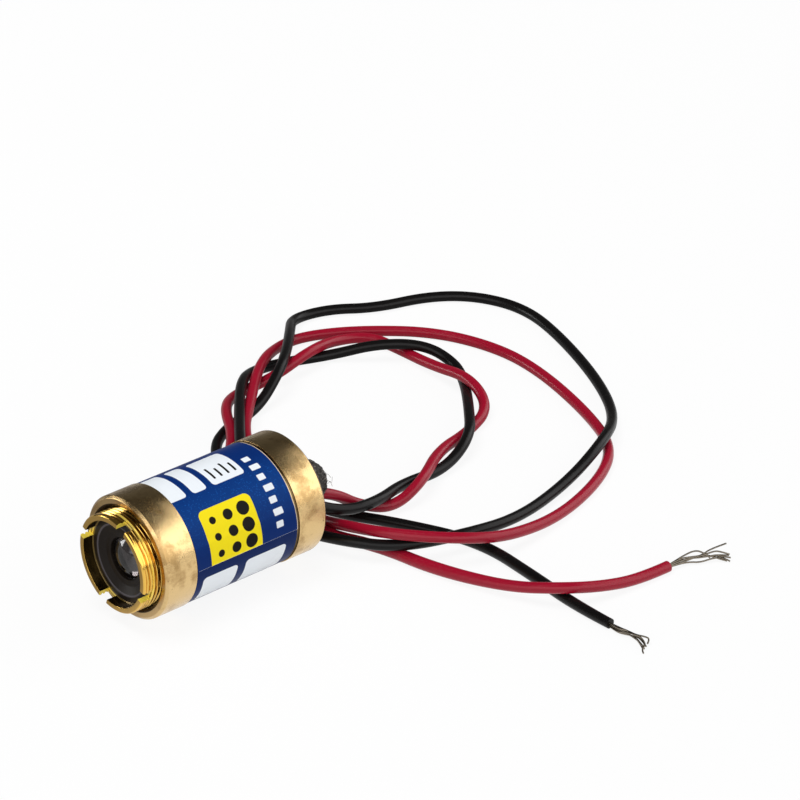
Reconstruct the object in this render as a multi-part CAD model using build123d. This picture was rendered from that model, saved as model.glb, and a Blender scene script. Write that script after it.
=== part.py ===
from build123d import *
import math
import os

# Laser diode module: a brass barrel lying on its side on the floor (z = 0), +Z up.
# The beam leaves the front along -Y and the two leads leave the rear along +Y.
# All sizes are in millimetres. "front" and "back" are distances along Y behind the
# barrel's front face; at_row() moves them into the row's frame.

# Barrel
barrel_radius = 7.5
barrel_length = 23.5
barrel_edge_chamfer = 0.35
front_collar_length = 4.35
rear_collar_length = 4.15
label_recess_depth = 0.2
focus_wall = 1.47
focus_mouth_chamfer = 0.47
web_thickness = 0.8
web_ledge = 1.43
rear_wall = 1.6

# Lens cell, an external M12 x 0.5 thread whose crests are a plain cylinder here
thread_clearance = 0.06
rim_proud = 2.1
cell_rim_chamfer = 0.15
cell_rim_wall = 0.72
cell_rim_depth = 1.36
cell_seat_wall = 0.87
cell_seat_depth = 4.5
cell_web_thickness = 0.8
cell_web_ledge = 1.5
cell_skirt_wall = 1.07
key_slot_width = 1.4
key_slot_depth = 1.4
key_slot_first_angle = 70.0
key_slot_count = 4

# Lens and what holds it
seat_clearance = 0.02
retainer_length = 1.04
retainer_lip = 0.75
retainer_cone_width = 1.0
retainer_cone_depth = 0.51
lens_lap = 0.35
lens_radius = 2.95
lens_edge_thickness = 1.2
lens_dome_height = 1.0
lens_pocket_clearance = 0.05
cushion_thickness = 0.2
cushion_width = 0.45

# Thrust washer and spring
washer_thickness = 0.5
washer_clearance = 0.13
washer_width = 2.3
spring_height = 3.0
spring_side_gap = 0.63
spring_wire_radius = 0.2
spring_turns = 2.5
spring_wire_sides = 4

# Laser diode and its holder
holder_length = 4.0
holder_front_hole_radius = 2.0
header_radius = 2.8
header_thickness = 1.2
header_clearance = 0.03
header_front_inset = 1.5
clamp_radius = 4.2
clamp_thickness = 1.1
clamp_hole_radius = 2.0
clamp_slot_width = 0.8
clamp_slot_depth = 0.5
cap_radius = 1.775
cap_height = 2.3
cap_wall = 0.2
window_hole_radius = 0.8
window_radius = 1.2
window_thickness = 0.25
submount_width = 0.9
submount_depth = 0.6
submount_length = 1.1
chip_width = 0.3
chip_height = 0.12
chip_length = 0.6
pin_radius = 0.225
pin_circle_radius = 1.27
pin_length = 3.6

# Driver board, lying along the axis with the two upper pins on its face
board_width = 10.0
board_thickness = 0.8
board_length = 5.8
board_front_gap = 0.6
board_rear_gap = 0.3
board_gap = 0.02
board_part_gap = 0.15
chip_body_width = 2.8
chip_body_length = 2.9
chip_body_height = 1.1
chip_leg_count = 3
chip_leg_width = 0.4
chip_leg_reach = 0.6
chip_leg_thickness = 0.2
transistor_width = 1.5
transistor_length = 2.6
transistor_height = 1.0
capacitor_width = 1.25
capacitor_length = 2.0
capacitor_height = 1.25
resistor_width = 0.8
resistor_length = 1.6
resistor_height = 0.45
resistor_count = 4
resistor_pitch = 1.7
trimmer_side = 2.2
trimmer_height = 1.1
trimmer_rotor_radius = 0.9
trimmer_slot_width = 0.3
trimmer_slot_depth = 0.3
solder_radius = 0.5
solder_length = 1.1
solder_sides = 6

# Resin at the rear and the lump of adhesive round the leads
resin_thickness = 1.2
resin_back_inset = 0.4
lump_root_radius = 3.6
lump_shoulder_radius = 3.0
lump_nose_radius = 2.45
lump_reach = 4.9
lump_nose_edge = 0.7
lump_shoulder_share = 0.4

# Label: a film wrapped once round the recess, its end lapping over its start
label_thickness = 0.1
label_front_gap = 0.05
label_rear_gap = 0.35
label_seam_angle = -1.5
label_lap_angle = 21.0

# Leads: 1.2 mm insulated stranded wire with bared ends
lead_radius = 0.6
lead_sides = 6
tail_radius = 0.3
tail_length = 1.5
tail_side = 1.5
tail_inset = 1.7
tail_lift = 0.1
strand_length = 10.0
strand_radius = 0.1
strand_ring_radius = 0.23
strand_count = 7
strand_sides = 4
run_share = 0.45

overrun = 1.0

# Both leads as they lie: x, distance behind the barrel's rear face, z.
red_route = [
    (tail_side, -tail_inset, barrel_radius + tail_lift),
    (1.0, 2.0, 7.1), (1.0, 6.6, 5.5), (1.0, 10.4, 1.9), (3.0, 14.0, 0.45),
    (2.2, 19.3, 2.3), (-2.6, 26.0, 1.8), (-5.4, 33.4, 0.5), (-7.8, 39.2, 1.1), (-13.3, 41.0, 2.5),
    (-20.8, 41.2, 1.2), (-27.9, 41.4, 0.6), (-32.5, 40.3, 0.8), (-33.9, 35.9, 1.2), (-31.7, 30.1, 2.6),
    (-32.0, 24.2, 1.1), (-32.5, 18.5, 0.4), (-28.7, 14.2, 2.0), (-21.9, 9.1, 2.1), (-16.0, 3.9, 2.1),
    (-9.6, 3.4, 0.6), (-1.8, 5.5, 0.8), (6.5, 5.6, 2.8), (12.5, 7.2, 3.6), (17.2, 12.2, 3.3),
    (18.1, 18.8, 2.0), (16.8, 28.2, 0.6), (13.4, 38.0, 0.65), (8.6, 44.2, 0.65), (0.6, 48.0, 0.65),
    (-10.7, 51.0, 0.65), (-19.3, 51.4, 0.65), (-27.7, 48.0, 0.65), (-34.6, 41.5, 0.7), (-38.1, 35.5, 0.6),
    (-37.1, 30.0, 1.1), (-33.6, 23.5, 2.5), (-27.4, 16.9, 1.9), (-21.4, 10.8, 2.0), (-12.7, 6.5, 2.2),
    (-5.6, 3.1, 1.9), (2.0, 3.8, 0.6), (9.1, 6.5, 0.65), (17.5, 7.9, 0.6), (26.0, 11.3, 1.2),
    (31.1, 14.6, 2.3), (32.4, 20.0, 1.3), (33.2, 25.3, 0.65), (33.6, 29.5, 0.65),
]
black_route = [
    (-tail_side, -tail_inset, barrel_radius + tail_lift),
    (0.4, 1.4, 5.9), (2.9, 5.8, 3.4), (3.6, 10.8, 2.8), (0.8, 17.2, 1.4),
    (-0.5, 25.3, 0.4), (-2.7, 30.9, 2.2), (-9.1, 35.7, 1.6), (-15.8, 41.1, 0.6), (-20.4, 44.4, 0.7),
    (-24.8, 43.7, 1.8), (-28.2, 38.8, 2.1), (-32.1, 34.0, 0.65), (-34.6, 28.0, 0.6), (-35.2, 23.4, 0.8),
    (-31.4, 18.5, 2.4), (-24.3, 12.5, 2.9), (-15.8, 5.9, 3.7), (-9.3, 1.9, 2.3), (-1.2, 1.6, 1.2),
    (6.5, 3.3, 2.1), (11.1, 7.7, 1.8), (14.0, 15.4, 2.1), (13.4, 24.6, 1.0), (11.1, 34.8, 0.8),
    (9.2, 42.3, 2.5), (3.9, 49.3, 1.0), (-4.7, 54.8, 0.6), (-16.1, 59.4, 0.65), (-24.6, 61.2, 0.65),
    (-31.2, 59.0, 0.65), (-35.7, 54.3, 0.65), (-38.1, 46.4, 0.65), (-41.6, 40.6, 0.6), (-42.5, 36.1, 0.7),
    (-38.6, 32.4, 2.0), (-33.0, 27.4, 3.2), (-28.9, 22.8, 3.4), (-27.4, 18.0, 0.55), (-26.5, 11.9, 0.7),
    (-23.7, 7.1, 0.6), (-18.4, 4.5, 0.65), (-11.3, 6.0, 0.65), (-1.6, 8.2, 0.65), (5.5, 12.5, 0.65),
    (14.5, 17.4, 0.65), (24.4, 17.4, 0.65), (31.6, 16.6, 0.65), (37.8, 16.3, 0.65),
]

# The bared strands beyond each cut end: where each one bends and where it ends, across the barrel,
# along it and upwards, as shares of the strands' length
red_fan_shares = [
    ((0.01, 0.3, 0.02), (0.09, 0.86, 0.12)),
    ((0.03, 0.32, 0.05), (0.22, 0.77, 0.03)),
    ((-0.02, 0.31, 0.07), (0.16, 0.79, 0.07)),
    ((-0.05, 0.29, 0.05), (0.02, 0.82, 0.05)),
    ((-0.04, 0.3, 0.0), (-0.06, 0.74, 0.01)),
    ((0.0, 0.31, -0.02), (0.05, 0.77, -0.03)),
    ((0.05, 0.29, -0.01), (0.28, 0.66, -0.03)),
]
black_fan_shares = [
    ((0.26, -0.01, 0.01), (0.46, 0.03, 0.02)),
    ((0.25, 0.03, 0.05), (0.49, 0.07, 0.07)),
    ((0.24, -0.01, 0.08), (0.47, -0.05, 0.09)),
    ((0.23, -0.06, 0.06), (0.43, -0.14, 0.07)),
    ((0.23, -0.08, 0.01), (0.42, -0.19, 0.0)),
    ((0.24, -0.04, -0.02), (0.46, -0.11, -0.03)),
    ((0.25, 0.03, -0.02), (0.48, 0.11, -0.03)),
]

# Sizes and places worked out from the sizes above
axis_height = barrel_radius
overall_length = rim_proud + barrel_length + lump_reach
front_face_place = rim_proud - overall_length / 2
label_recess_radius = barrel_radius - label_recess_depth
focus_bore_radius = barrel_radius - focus_wall
focus_mouth_radius = focus_bore_radius + focus_mouth_chamfer
web_hole_radius = focus_bore_radius - web_ledge
rear_bore_radius = barrel_radius - rear_wall

# From the rear face forwards
resin_back = barrel_length - resin_back_inset
resin_front = resin_back - resin_thickness
board_back = resin_front - board_rear_gap
board_front = board_back - board_length
holder_back = board_front - board_front_gap
holder_front = holder_back - holder_length
web_front = holder_front - web_thickness
washer_back = web_front - spring_height
cell_back = washer_back - washer_thickness
cell_front = -rim_proud

cell_radius = focus_bore_radius - thread_clearance
cell_rim_bore_radius = cell_radius - cell_rim_wall
cell_seat_bore_radius = cell_radius - cell_seat_wall
cell_web_hole_radius = cell_seat_bore_radius - cell_web_ledge
cell_skirt_bore_radius = cell_radius - cell_skirt_wall
cell_step = cell_front + cell_rim_depth
cell_web_front = cell_front + cell_seat_depth
seat_radius = cell_seat_bore_radius - seat_clearance
retainer_mouth_radius = seat_radius - retainer_lip
retainer_throat_radius = retainer_mouth_radius - retainer_cone_width
retainer_hole_radius = lens_radius - lens_lap
retainer_back = cell_step + retainer_length
lens_back = retainer_back + lens_edge_thickness
cushion_hole_radius = lens_radius - cushion_width
cushion_back = lens_back + cushion_thickness
lens_pocket_radius = lens_radius + lens_pocket_clearance
washer_radius = focus_bore_radius - washer_clearance
washer_hole_radius = washer_radius - washer_width
spring_mean_radius = focus_bore_radius - spring_side_gap - spring_wire_radius

holder_radius = rear_bore_radius - seat_clearance
header_front = holder_front + header_front_inset
header_back = header_front + header_thickness
clamp_back = header_back + clamp_thickness
cap_front = header_front - cap_height
window_back = cap_front + cap_wall + window_thickness
pins_back = header_back + pin_length
board_top = -pin_radius
board_bottom = board_top - board_thickness
column_edge = tail_side + solder_radius + board_part_gap
front_row = board_front + board_part_gap
rear_row = front_row + max(trimmer_side, capacitor_length) + board_part_gap
lump_back = barrel_length + lump_reach


def at_row(solid):
    """Move a solid from the barrel's own frame into the row's frame."""
    return Pos(0, front_face_place, axis_height) * solid


def turned(*profile):
    """Turn a closed outline of (radius, distance behind the front face) about the barrel's axis."""
    return revolve(make_face(Polyline(*profile, close=True)), Axis.Y, 360)


def ring(front, back, outer, inner=0):
    """A plain ring, or a disc where nothing is given for its inner radius."""
    return turned((inner, front), (outer, front), (outer, back), (inner, back))


def block(width, length, height, x=0, front=0, base=0):
    """A box by its width along X, length along Y and height, from its front face and its base."""
    return Pos(x, front + length / 2, base + height / 2) * Box(width, length, height)


def rod(radius, front, back, x=0, z=0):
    """A round rod that lies beside the barrel's axis."""
    return Pos(x, 0, z) * ring(front, back, radius)


def key_slots():
    """The four slots cut across the rim of the lens cell for the focusing key."""
    reach = cell_radius - cell_rim_bore_radius + 2 * overrun
    middle = (cell_radius + cell_rim_bore_radius) / 2
    slot = Pos(middle, cell_front + key_slot_depth / 2 - overrun / 2, 0) * Box(
        reach, key_slot_depth + overrun, key_slot_width
    )
    step = 360 / key_slot_count
    return [Rot(0, -(key_slot_first_angle + step * i), 0) * slot for i in range(key_slot_count)]


def make_barrel():
    """The barrel: two collars, the recess for the label, and a web between two bores."""
    edge, recess = barrel_edge_chamfer, label_recess_radius
    recess_back = barrel_length - rear_collar_length
    return turned(
        (focus_mouth_radius, 0),
        (barrel_radius - edge, 0),
        (barrel_radius, edge),
        (barrel_radius, front_collar_length),
        (recess, front_collar_length),
        (recess, recess_back),
        (barrel_radius, recess_back),
        (barrel_radius, barrel_length - edge),
        (barrel_radius - edge, barrel_length),
        (rear_bore_radius, barrel_length),
        (rear_bore_radius, holder_front),
        (web_hole_radius, holder_front),
        (web_hole_radius, web_front),
        (focus_bore_radius, web_front),
        (focus_bore_radius, focus_mouth_chamfer),
    )


def make_label():
    """One turn of film, and a lap on top of it that ends at the seam."""
    front = front_collar_length + label_front_gap
    back = barrel_length - rear_collar_length - label_rear_gap
    film = label_recess_radius + label_thickness
    wrap = ring(front, back, film, label_recess_radius)
    lap_face = make_face(
        Polyline(
            (film, front), (film + label_thickness, front), (film + label_thickness, back), (film, back),
            close=True,
        )
    )
    lap = revolve(lap_face, Axis.Y, label_lap_angle)
    return wrap + Rot(0, -(label_seam_angle + label_lap_angle), 0) * lap


def make_lens_cell():
    """The screw-in cell: a slotted rim, the seat for the lens and a skirt that pushes the washer."""
    edge = cell_rim_chamfer
    body = turned(
        (cell_rim_bore_radius, cell_front),
        (cell_radius - edge, cell_front),
        (cell_radius, cell_front + edge),
        (cell_radius, cell_back),
        (cell_skirt_bore_radius, cell_back),
        (cell_skirt_bore_radius, cell_web_front + cell_web_thickness),
        (cell_web_hole_radius, cell_web_front + cell_web_thickness),
        (cell_web_hole_radius, cell_web_front),
        (cell_seat_bore_radius, cell_web_front),
        (cell_seat_bore_radius, cell_step),
        (cell_rim_bore_radius, cell_step),
    )
    return body - key_slots()


def make_lens_retaining_ring():
    """The black ring that holds the lens down, with a cone round the beam."""
    cone_back = cell_step + retainer_cone_depth
    return turned(
        (retainer_mouth_radius, cell_step),
        (seat_radius, cell_step),
        (seat_radius, retainer_back),
        (retainer_hole_radius, retainer_back),
        (retainer_hole_radius, cone_back),
        (retainer_throat_radius, cone_back),
    )


def make_lens_mount():
    """The black mount with the lens's pocket in front and the cushion's seat behind it."""
    return turned(
        (lens_pocket_radius, retainer_back),
        (seat_radius, retainer_back),
        (seat_radius, cell_web_front),
        (cushion_hole_radius, cell_web_front),
        (cushion_hole_radius, cushion_back),
        (lens_pocket_radius, cushion_back),
    )


def make_lens():
    """A plano-convex lens whose dome stands forward through the retaining ring."""
    dome_edge = retainer_hole_radius - lens_pocket_clearance
    sphere = (dome_edge**2 + lens_dome_height**2) / (2 * lens_dome_height)
    apex = retainer_back - lens_dome_height
    half_angle = math.asin(dome_edge / sphere) / 2
    middle = (sphere * math.sin(half_angle), apex + sphere * (1 - math.cos(half_angle)))
    outline = ThreePointArc((0, apex), middle, (dome_edge, retainer_back)) + Polyline(
        (dome_edge, retainer_back), (lens_radius, retainer_back), (lens_radius, lens_back), (0, lens_back),
        (0, apex),
    )
    return revolve(make_face(outline), Axis.Y, 360)


def make_focus_spring():
    """An open coil between the thrust washer and the barrel's web."""
    free_height = web_front - washer_back - 2 * spring_wire_radius
    coil = Helix(free_height / spring_turns, free_height, spring_mean_radius)
    section = Plane(origin=coil @ 0, z_dir=coil % 0) * RegularPolygon(spring_wire_radius, spring_wire_sides)
    spring = sweep(section, path=coil, is_frenet=True)
    return Pos(0, web_front - spring_wire_radius, 0) * Rot(90, 0, 0) * spring


def make_diode_holder():
    """The holder pressed into the rear bore, stepped for the diode's header and its clamp ring."""
    clamp_seat = clamp_radius + seat_clearance
    header_seat = header_radius + header_clearance
    return turned(
        (holder_front_hole_radius, holder_front),
        (holder_radius, holder_front),
        (holder_radius, holder_back),
        (clamp_seat, holder_back),
        (clamp_seat, header_back),
        (header_seat, header_back),
        (header_seat, header_front),
        (holder_front_hole_radius, header_front),
    )


def make_diode_clamp_ring():
    """The ring that clamps the header, with a slot across its back."""
    slot = block(
        2 * clamp_radius + overrun, clamp_slot_depth + overrun, clamp_slot_width,
        front=clamp_back - clamp_slot_depth, base=-clamp_slot_width / 2,
    )
    return ring(header_back, clamp_back, clamp_radius, clamp_hole_radius) - slot


def make_diode_cap():
    """The diode's can, open towards the header and with a hole for the window."""
    inside = cap_radius - cap_wall
    return turned(
        (window_hole_radius, cap_front),
        (cap_radius, cap_front),
        (cap_radius, header_front),
        (inside, header_front),
        (inside, cap_front + cap_wall),
        (window_hole_radius, cap_front + cap_wall),
    )


def pin_places():
    """Where the three pins stand round the axis, as (x, height)."""
    return [(-pin_circle_radius, 0), (pin_circle_radius, 0), (0, -pin_circle_radius)]


def make_diode_pins():
    """The three pins behind the header, the upper two of which reach over the board."""
    return Compound([rod(pin_radius, header_back, pins_back, x, z) for x, z in pin_places()])


def make_driver_board():
    """The bare board, with its upper face just under the pins."""
    return block(board_width, board_length, board_thickness, front=board_front, base=board_bottom)


def on_board(width, length, height, side, front):
    """A block on the board's upper face, in the column outside the solder on the given side."""
    return block(
        width, length, height, x=side * (column_edge + width / 2), front=front, base=board_top + board_gap
    )


def make_driver_chip():
    """A small-outline chip with legs along both long sides."""
    middle = column_edge + chip_body_width / 2
    base = board_top + board_gap
    body_width = chip_body_width - 2 * chip_leg_reach
    chip = block(body_width, chip_body_length, chip_body_height, x=middle, front=rear_row, base=base)
    pitch = chip_body_length / chip_leg_count
    for i in range(chip_leg_count):
        front = rear_row + pitch * (i + 0.5) - chip_leg_width / 2
        chip += block(chip_body_width, chip_leg_width, chip_leg_thickness, x=middle, front=front, base=base)
    return chip


def make_power_trimmer():
    """A trimming resistor with a slotted rotor, for setting the beam's power."""
    trimmer = on_board(trimmer_side, trimmer_side, trimmer_height, -1, front_row)
    top = board_top + board_gap + trimmer_height
    x = -column_edge - trimmer_side / 2
    middle = front_row + trimmer_side / 2
    rotor = Pos(x, middle, top + trimmer_slot_depth / 2) * Cylinder(trimmer_rotor_radius, trimmer_slot_depth)
    slot = block(
        2 * trimmer_rotor_radius, trimmer_slot_width, trimmer_slot_depth + overrun, x=x,
        front=middle - trimmer_slot_width / 2, base=top,
    )
    return trimmer + (rotor - slot)


def make_resistors():
    """Chip resistors in a row under the board."""
    row = resistor_pitch * (resistor_count - 1)
    front = board_back - resistor_length - resistor_width
    base = board_bottom - board_gap - resistor_height
    return Compound(
        [
            block(
                resistor_width, resistor_length, resistor_height, x=resistor_pitch * i - row / 2,
                front=front, base=base,
            )
            for i in range(resistor_count)
        ]
    )


def lead_path(route):
    """Straight runs joined by arcs, each as large as its two runs allow, and the arcs' radii."""
    points = [Vector(x, barrel_length + y, z - axis_height) for x, y, z in route]
    radii = []
    for before, corner, after in zip(points, points[1:], points[2:]):
        first, second = corner - before, after - corner
        half_turn = math.radians(first.get_angle(second)) / 2
        radii.append(run_share * min(first.length, second.length) / math.tan(half_turn))
    return FilletPolyline(*points, radius=radii), radii


def make_lead(route):
    """One lead's insulation, with its path, its radii and its volume over section times length."""
    path, radii = lead_path(route)
    section = Plane(origin=path @ 0, z_dir=path % 0) * RegularPolygon(lead_radius, lead_sides)
    lead = sweep(section, path=path)
    return lead, path, radii, lead.volume / (section.area * path.length)


def lead_root(route):
    """The first runs of a lead, which the resin and the adhesive are cast round."""
    return make_lead(route[:4])[0]


def make_potting_resin():
    """The disc of resin that closes the rear bore round the leads."""
    disc = ring(resin_front, resin_back, rear_bore_radius - seat_clearance)
    return disc - lead_root(red_route) - lead_root(black_route)


def make_strain_relief():
    """A lump of adhesive that tapers to a rounded nose round the leads."""
    shoulder = resin_back + lump_shoulder_share * (lump_back - resin_back)
    lump = turned(
        (0, resin_back),
        (lump_root_radius, resin_back),
        (lump_shoulder_radius, shoulder),
        (lump_nose_radius, lump_back - lump_nose_edge),
        (lump_nose_radius - lump_nose_edge, lump_back),
        (0, lump_back),
    )
    return lump - lead_root(red_route) - lead_root(black_route)


def make_conductor(route, lead, path, fan_shares):
    """The tinned strands that fan out of the cut end, and the tail soldered to the board."""
    end = Plane(origin=path @ 1, z_dir=path % 1)
    strands = []
    for i, (bend, tip) in enumerate(fan_shares):
        turn = 2 * math.pi * i / (strand_count - 1)
        ring_place = strand_ring_radius if i else 0
        root = end.from_local_coords((ring_place * math.cos(turn), ring_place * math.sin(turn), 0))
        knee, last = root + Vector(*bend) * strand_length, root + Vector(*tip) * strand_length
        first, second = knee - root, last - knee
        half_turn = math.radians(first.get_angle(second)) / 2
        radius = run_share * min(first.length, second.length) / math.tan(half_turn)
        line = FilletPolyline(root, knee, last, radius=radius)
        section = Plane(origin=line @ 0, z_dir=end.z_dir) * RegularPolygon(strand_radius, strand_sides)
        strands.append(sweep(section, path=line))
    x, y, z = route[0]
    back = barrel_length + y
    tail = rod(tail_radius, back - tail_length, back, x, z - axis_height) - lead
    return Compound(strands + [tail])


def bead(front, x, z, wire_radius):
    """A bead of solder round a wire that lies along the board, cut flat where it meets the board."""
    turn = Rot(-90, 0, 0)
    outline = RegularPolygon(solder_radius, solder_sides)
    solid = Pos(x, front, z) * turn * extrude(outline - Circle(wire_radius), solder_length)
    under = block(
        4 * solder_radius, 3 * solder_length, board_width, x=x, front=front - solder_length,
        base=board_top + board_gap - board_width,
    )
    return solid - under


def make_solder_joints():
    """Solder over the two upper pins and the two lead tails."""
    pins = [bead(pins_back - solder_length, x, z, pin_radius) for x, z in pin_places()[:2]]
    tail_front = barrel_length - tail_inset - tail_length
    tails = [bead(tail_front, x, tail_lift, tail_radius) for x in (-tail_side, tail_side)]
    return Compound(pins + tails)


def build():
    """Every node's solid by name, in the barrel's own frame."""
    red_lead, red_path, red_radii, red_fill = make_lead(red_route)
    black_lead, black_path, black_radii, black_fill = make_lead(black_route)
    for name, path, radii, fill in (
        ("red", red_path, red_radii, red_fill),
        ("black", black_path, black_radii, black_fill),
    ):
        print(name, "lead radii", [round(radius, 1) for radius in radii])
        print(name, "lead length", round(path.length, 1), "volume over section times length", round(fill, 4))
    submount_back = header_front
    submount_front = submount_back - submount_length
    return {
        "barrel": make_barrel(),
        "label": make_label(),
        "lens_cell": make_lens_cell(),
        "lens_retaining_ring": make_lens_retaining_ring(),
        "lens_mount": make_lens_mount(),
        "lens": make_lens(),
        "lens_cushion_ring": ring(lens_back, cushion_back, lens_radius, cushion_hole_radius),
        "thrust_washer": ring(cell_back, washer_back, washer_radius, washer_hole_radius),
        "focus_spring": make_focus_spring(),
        "diode_holder": make_diode_holder(),
        "diode_clamp_ring": make_diode_clamp_ring(),
        "diode_header": ring(header_front, header_back, header_radius),
        "diode_cap": make_diode_cap(),
        "diode_window": ring(cap_front + cap_wall, window_back, window_radius),
        "diode_pins": make_diode_pins(),
        "chip_submount": block(
            submount_width, submount_length, submount_depth, front=submount_front, base=-submount_depth
        ),
        "laser_chip": block(chip_width, chip_length, chip_height, front=submount_front, base=0),
        "driver_board": make_driver_board(),
        "driver_chip": make_driver_chip(),
        "drive_transistor": on_board(
            transistor_width, transistor_length, transistor_height, -1, rear_row
        ),
        "smoothing_capacitor": on_board(
            capacitor_width, capacitor_length, capacitor_height, 1, front_row
        ),
        "resistors": make_resistors(),
        "power_trimmer": make_power_trimmer(),
        "solder_joints": make_solder_joints(),
        "potting_resin": make_potting_resin(),
        "strain_relief": make_strain_relief(),
        "red_lead": red_lead,
        "black_lead": black_lead,
        "red_conductor": make_conductor(red_route, red_lead, red_path, red_fan_shares),
        "black_conductor": make_conductor(black_route, black_lead, black_path, black_fan_shares),
    }


os.makedirs("parts", exist_ok=True)
for node, solid in build().items():
    export_step(at_row(solid), f"parts/{node}.step")
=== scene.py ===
"""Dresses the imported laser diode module: turned brass, printed film, lens, resin, leads and their strands."""

from __future__ import annotations

import logging
import math
from collections.abc import Callable, Sequence
from dataclasses import dataclass, field
from enum import Enum

import bmesh
import bpy
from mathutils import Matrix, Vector, noise

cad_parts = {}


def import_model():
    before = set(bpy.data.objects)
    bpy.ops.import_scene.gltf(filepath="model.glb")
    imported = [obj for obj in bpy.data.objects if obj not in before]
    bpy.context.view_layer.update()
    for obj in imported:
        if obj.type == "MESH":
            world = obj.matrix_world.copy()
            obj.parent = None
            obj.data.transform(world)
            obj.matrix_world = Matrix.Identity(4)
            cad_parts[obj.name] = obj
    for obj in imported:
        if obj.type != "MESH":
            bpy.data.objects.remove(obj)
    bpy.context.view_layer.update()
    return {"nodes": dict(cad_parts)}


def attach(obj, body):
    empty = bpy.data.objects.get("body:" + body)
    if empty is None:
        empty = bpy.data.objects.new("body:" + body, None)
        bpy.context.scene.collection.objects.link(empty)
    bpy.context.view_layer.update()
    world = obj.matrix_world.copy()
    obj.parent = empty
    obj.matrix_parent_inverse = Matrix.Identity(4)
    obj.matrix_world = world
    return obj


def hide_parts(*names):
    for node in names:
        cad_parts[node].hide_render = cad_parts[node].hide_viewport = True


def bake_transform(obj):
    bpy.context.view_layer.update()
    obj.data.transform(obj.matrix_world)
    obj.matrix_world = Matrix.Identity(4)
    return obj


log = logging.getLogger("laser_diode_module")

MM = 0.001
CREASE_ANGLE = math.radians(38)
Point = tuple[float, float, float]
Profile = Sequence[tuple[float, float]]


class Hand(Enum):
    """The two leads, named by the colour of their insulation."""

    RED = "red"
    BLACK = "black"


class Body(Enum):
    """The rigid bodies of the module."""

    BARREL = "barrel"
    THRUST_WASHER = "thrust_washer"
    LENS_CELL = "lens_cell"


@dataclass(frozen=True)
class BarrelFrame:
    """Where the barrel lies: lengths are in millimetres behind the barrel's front face."""

    front_face: float = -13.15
    axis_height: float = 7.5
    barrel_length: float = 23.5

    def place(self, x: float, along: float, z: float) -> Point:
        """Turn a place about the barrel's axis into metres in the row's frame.

        Args:
            x: Sideways distance from the axis.
            along: Distance behind the barrel's front face.
            z: Height above the axis.

        Returns:
            The point in metres.
        """
        return (x * MM, (self.front_face + along) * MM, (self.axis_height + z) * MM)

    def floor(self, x: float, behind: float, z: float) -> Point:
        """Turn a place on the floor behind the barrel into metres in the row's frame.

        Args:
            x: Sideways distance from the axis.
            behind: Distance behind the barrel's rear face.
            z: Height above the floor.

        Returns:
            The point in metres.
        """
        return (x * MM, (self.front_face + self.barrel_length + behind) * MM, z * MM)


FRAME = BarrelFrame()


# Mesh building


def fillet(profile: Profile, radii: Sequence[float], steps: int = 4) -> list[tuple[float, float]]:
    """Round the corners of a closed profile.

    Args:
        profile: Corners as (radius, distance along the axis).
        radii: One rounding per corner, 0 for a sharp one.
        steps: How many runs each rounding gets.

    Returns:
        The rounded profile.
    """
    rounded: list[tuple[float, float]] = []
    count = len(profile)
    for i in range(count):
        corner = Vector(profile[i])
        before, after = Vector(profile[i - 1]) - corner, Vector(profile[(i + 1) % count]) - corner
        if radii[i] <= 0:
            rounded.append(tuple(corner))
            continue
        reach = min(radii[i], 0.45 * before.length, 0.45 * after.length)
        start, end = corner + before.normalized() * reach, corner + after.normalized() * reach
        for step in range(steps + 1):
            t = step / steps
            rounded.append(tuple(start * (1 - t) ** 2 + corner * 2 * t * (1 - t) + end * t**2))
    return rounded


def link(mesh: bpy.types.Mesh, name: str) -> bpy.types.Object:
    """Put a mesh into the scene as a smooth-shaded object with crisp corners.

    Args:
        mesh: The finished mesh.
        name: The piece's name.

    Returns:
        The new object.
    """
    mesh.polygons.foreach_set("use_smooth", [True] * len(mesh.polygons))
    mesh.set_sharp_from_angle(angle=CREASE_ANGLE)
    piece = bpy.data.objects.new(name, mesh)
    bpy.context.scene.collection.objects.link(piece)
    return piece


def turn(name: str, profile: Profile, segments: int = 192) -> bpy.types.Object:
    """Turn a closed profile about the barrel's axis.

    Args:
        name: The piece's name.
        profile: Corners as (radius, distance behind the barrel's front face).
        segments: Steps round the axis.

    Returns:
        The turned piece.
    """
    return turn_shaped(name, profile, lambda radius, along, angle: (radius, along), segments)


def turn_shaped(
    name: str,
    profile: Profile,
    shape: Callable[[float, float, float], tuple[float, float]],
    segments: int = 192,
) -> bpy.types.Object:
    """Turn a closed profile whose points shift with the angle, as a thread or a lump needs.

    Args:
        name: The piece's name.
        profile: Corners as (radius, distance behind the barrel's front face).
        shape: Gives the shifted radius and distance for a radius, a distance and an angle.
        segments: Steps round the axis.

    Returns:
        The turned piece.
    """
    points: list[Point] = []
    for radius, along in profile:
        for step in range(segments):
            angle = 2 * math.pi * step / segments
            r, a = shape(radius, along, angle)
            points.append(FRAME.place(r * math.cos(angle), a, r * math.sin(angle)))
    faces: list[tuple[int, ...]] = []
    rows = len(profile)
    for row in range(rows):
        this, after = row * segments, (row + 1) % rows * segments
        on_axis = profile[row][0] == 0 and profile[(row + 1) % rows][0] == 0
        if on_axis:
            continue
        for step in range(segments):
            other = (step + 1) % segments
            faces.append((this + step, this + other, after + other, after + step))
    return shell(name, points, faces)


def clean(mesh: bpy.types.Mesh) -> None:
    """Merge doubled points and make every face look outwards."""
    work = bmesh.new()
    work.from_mesh(mesh)
    bmesh.ops.remove_doubles(work, verts=work.verts, dist=1e-7)
    bmesh.ops.dissolve_degenerate(work, edges=work.edges, dist=1e-8)
    bmesh.ops.recalc_face_normals(work, faces=work.faces)
    work.to_mesh(mesh)
    work.free()


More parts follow.
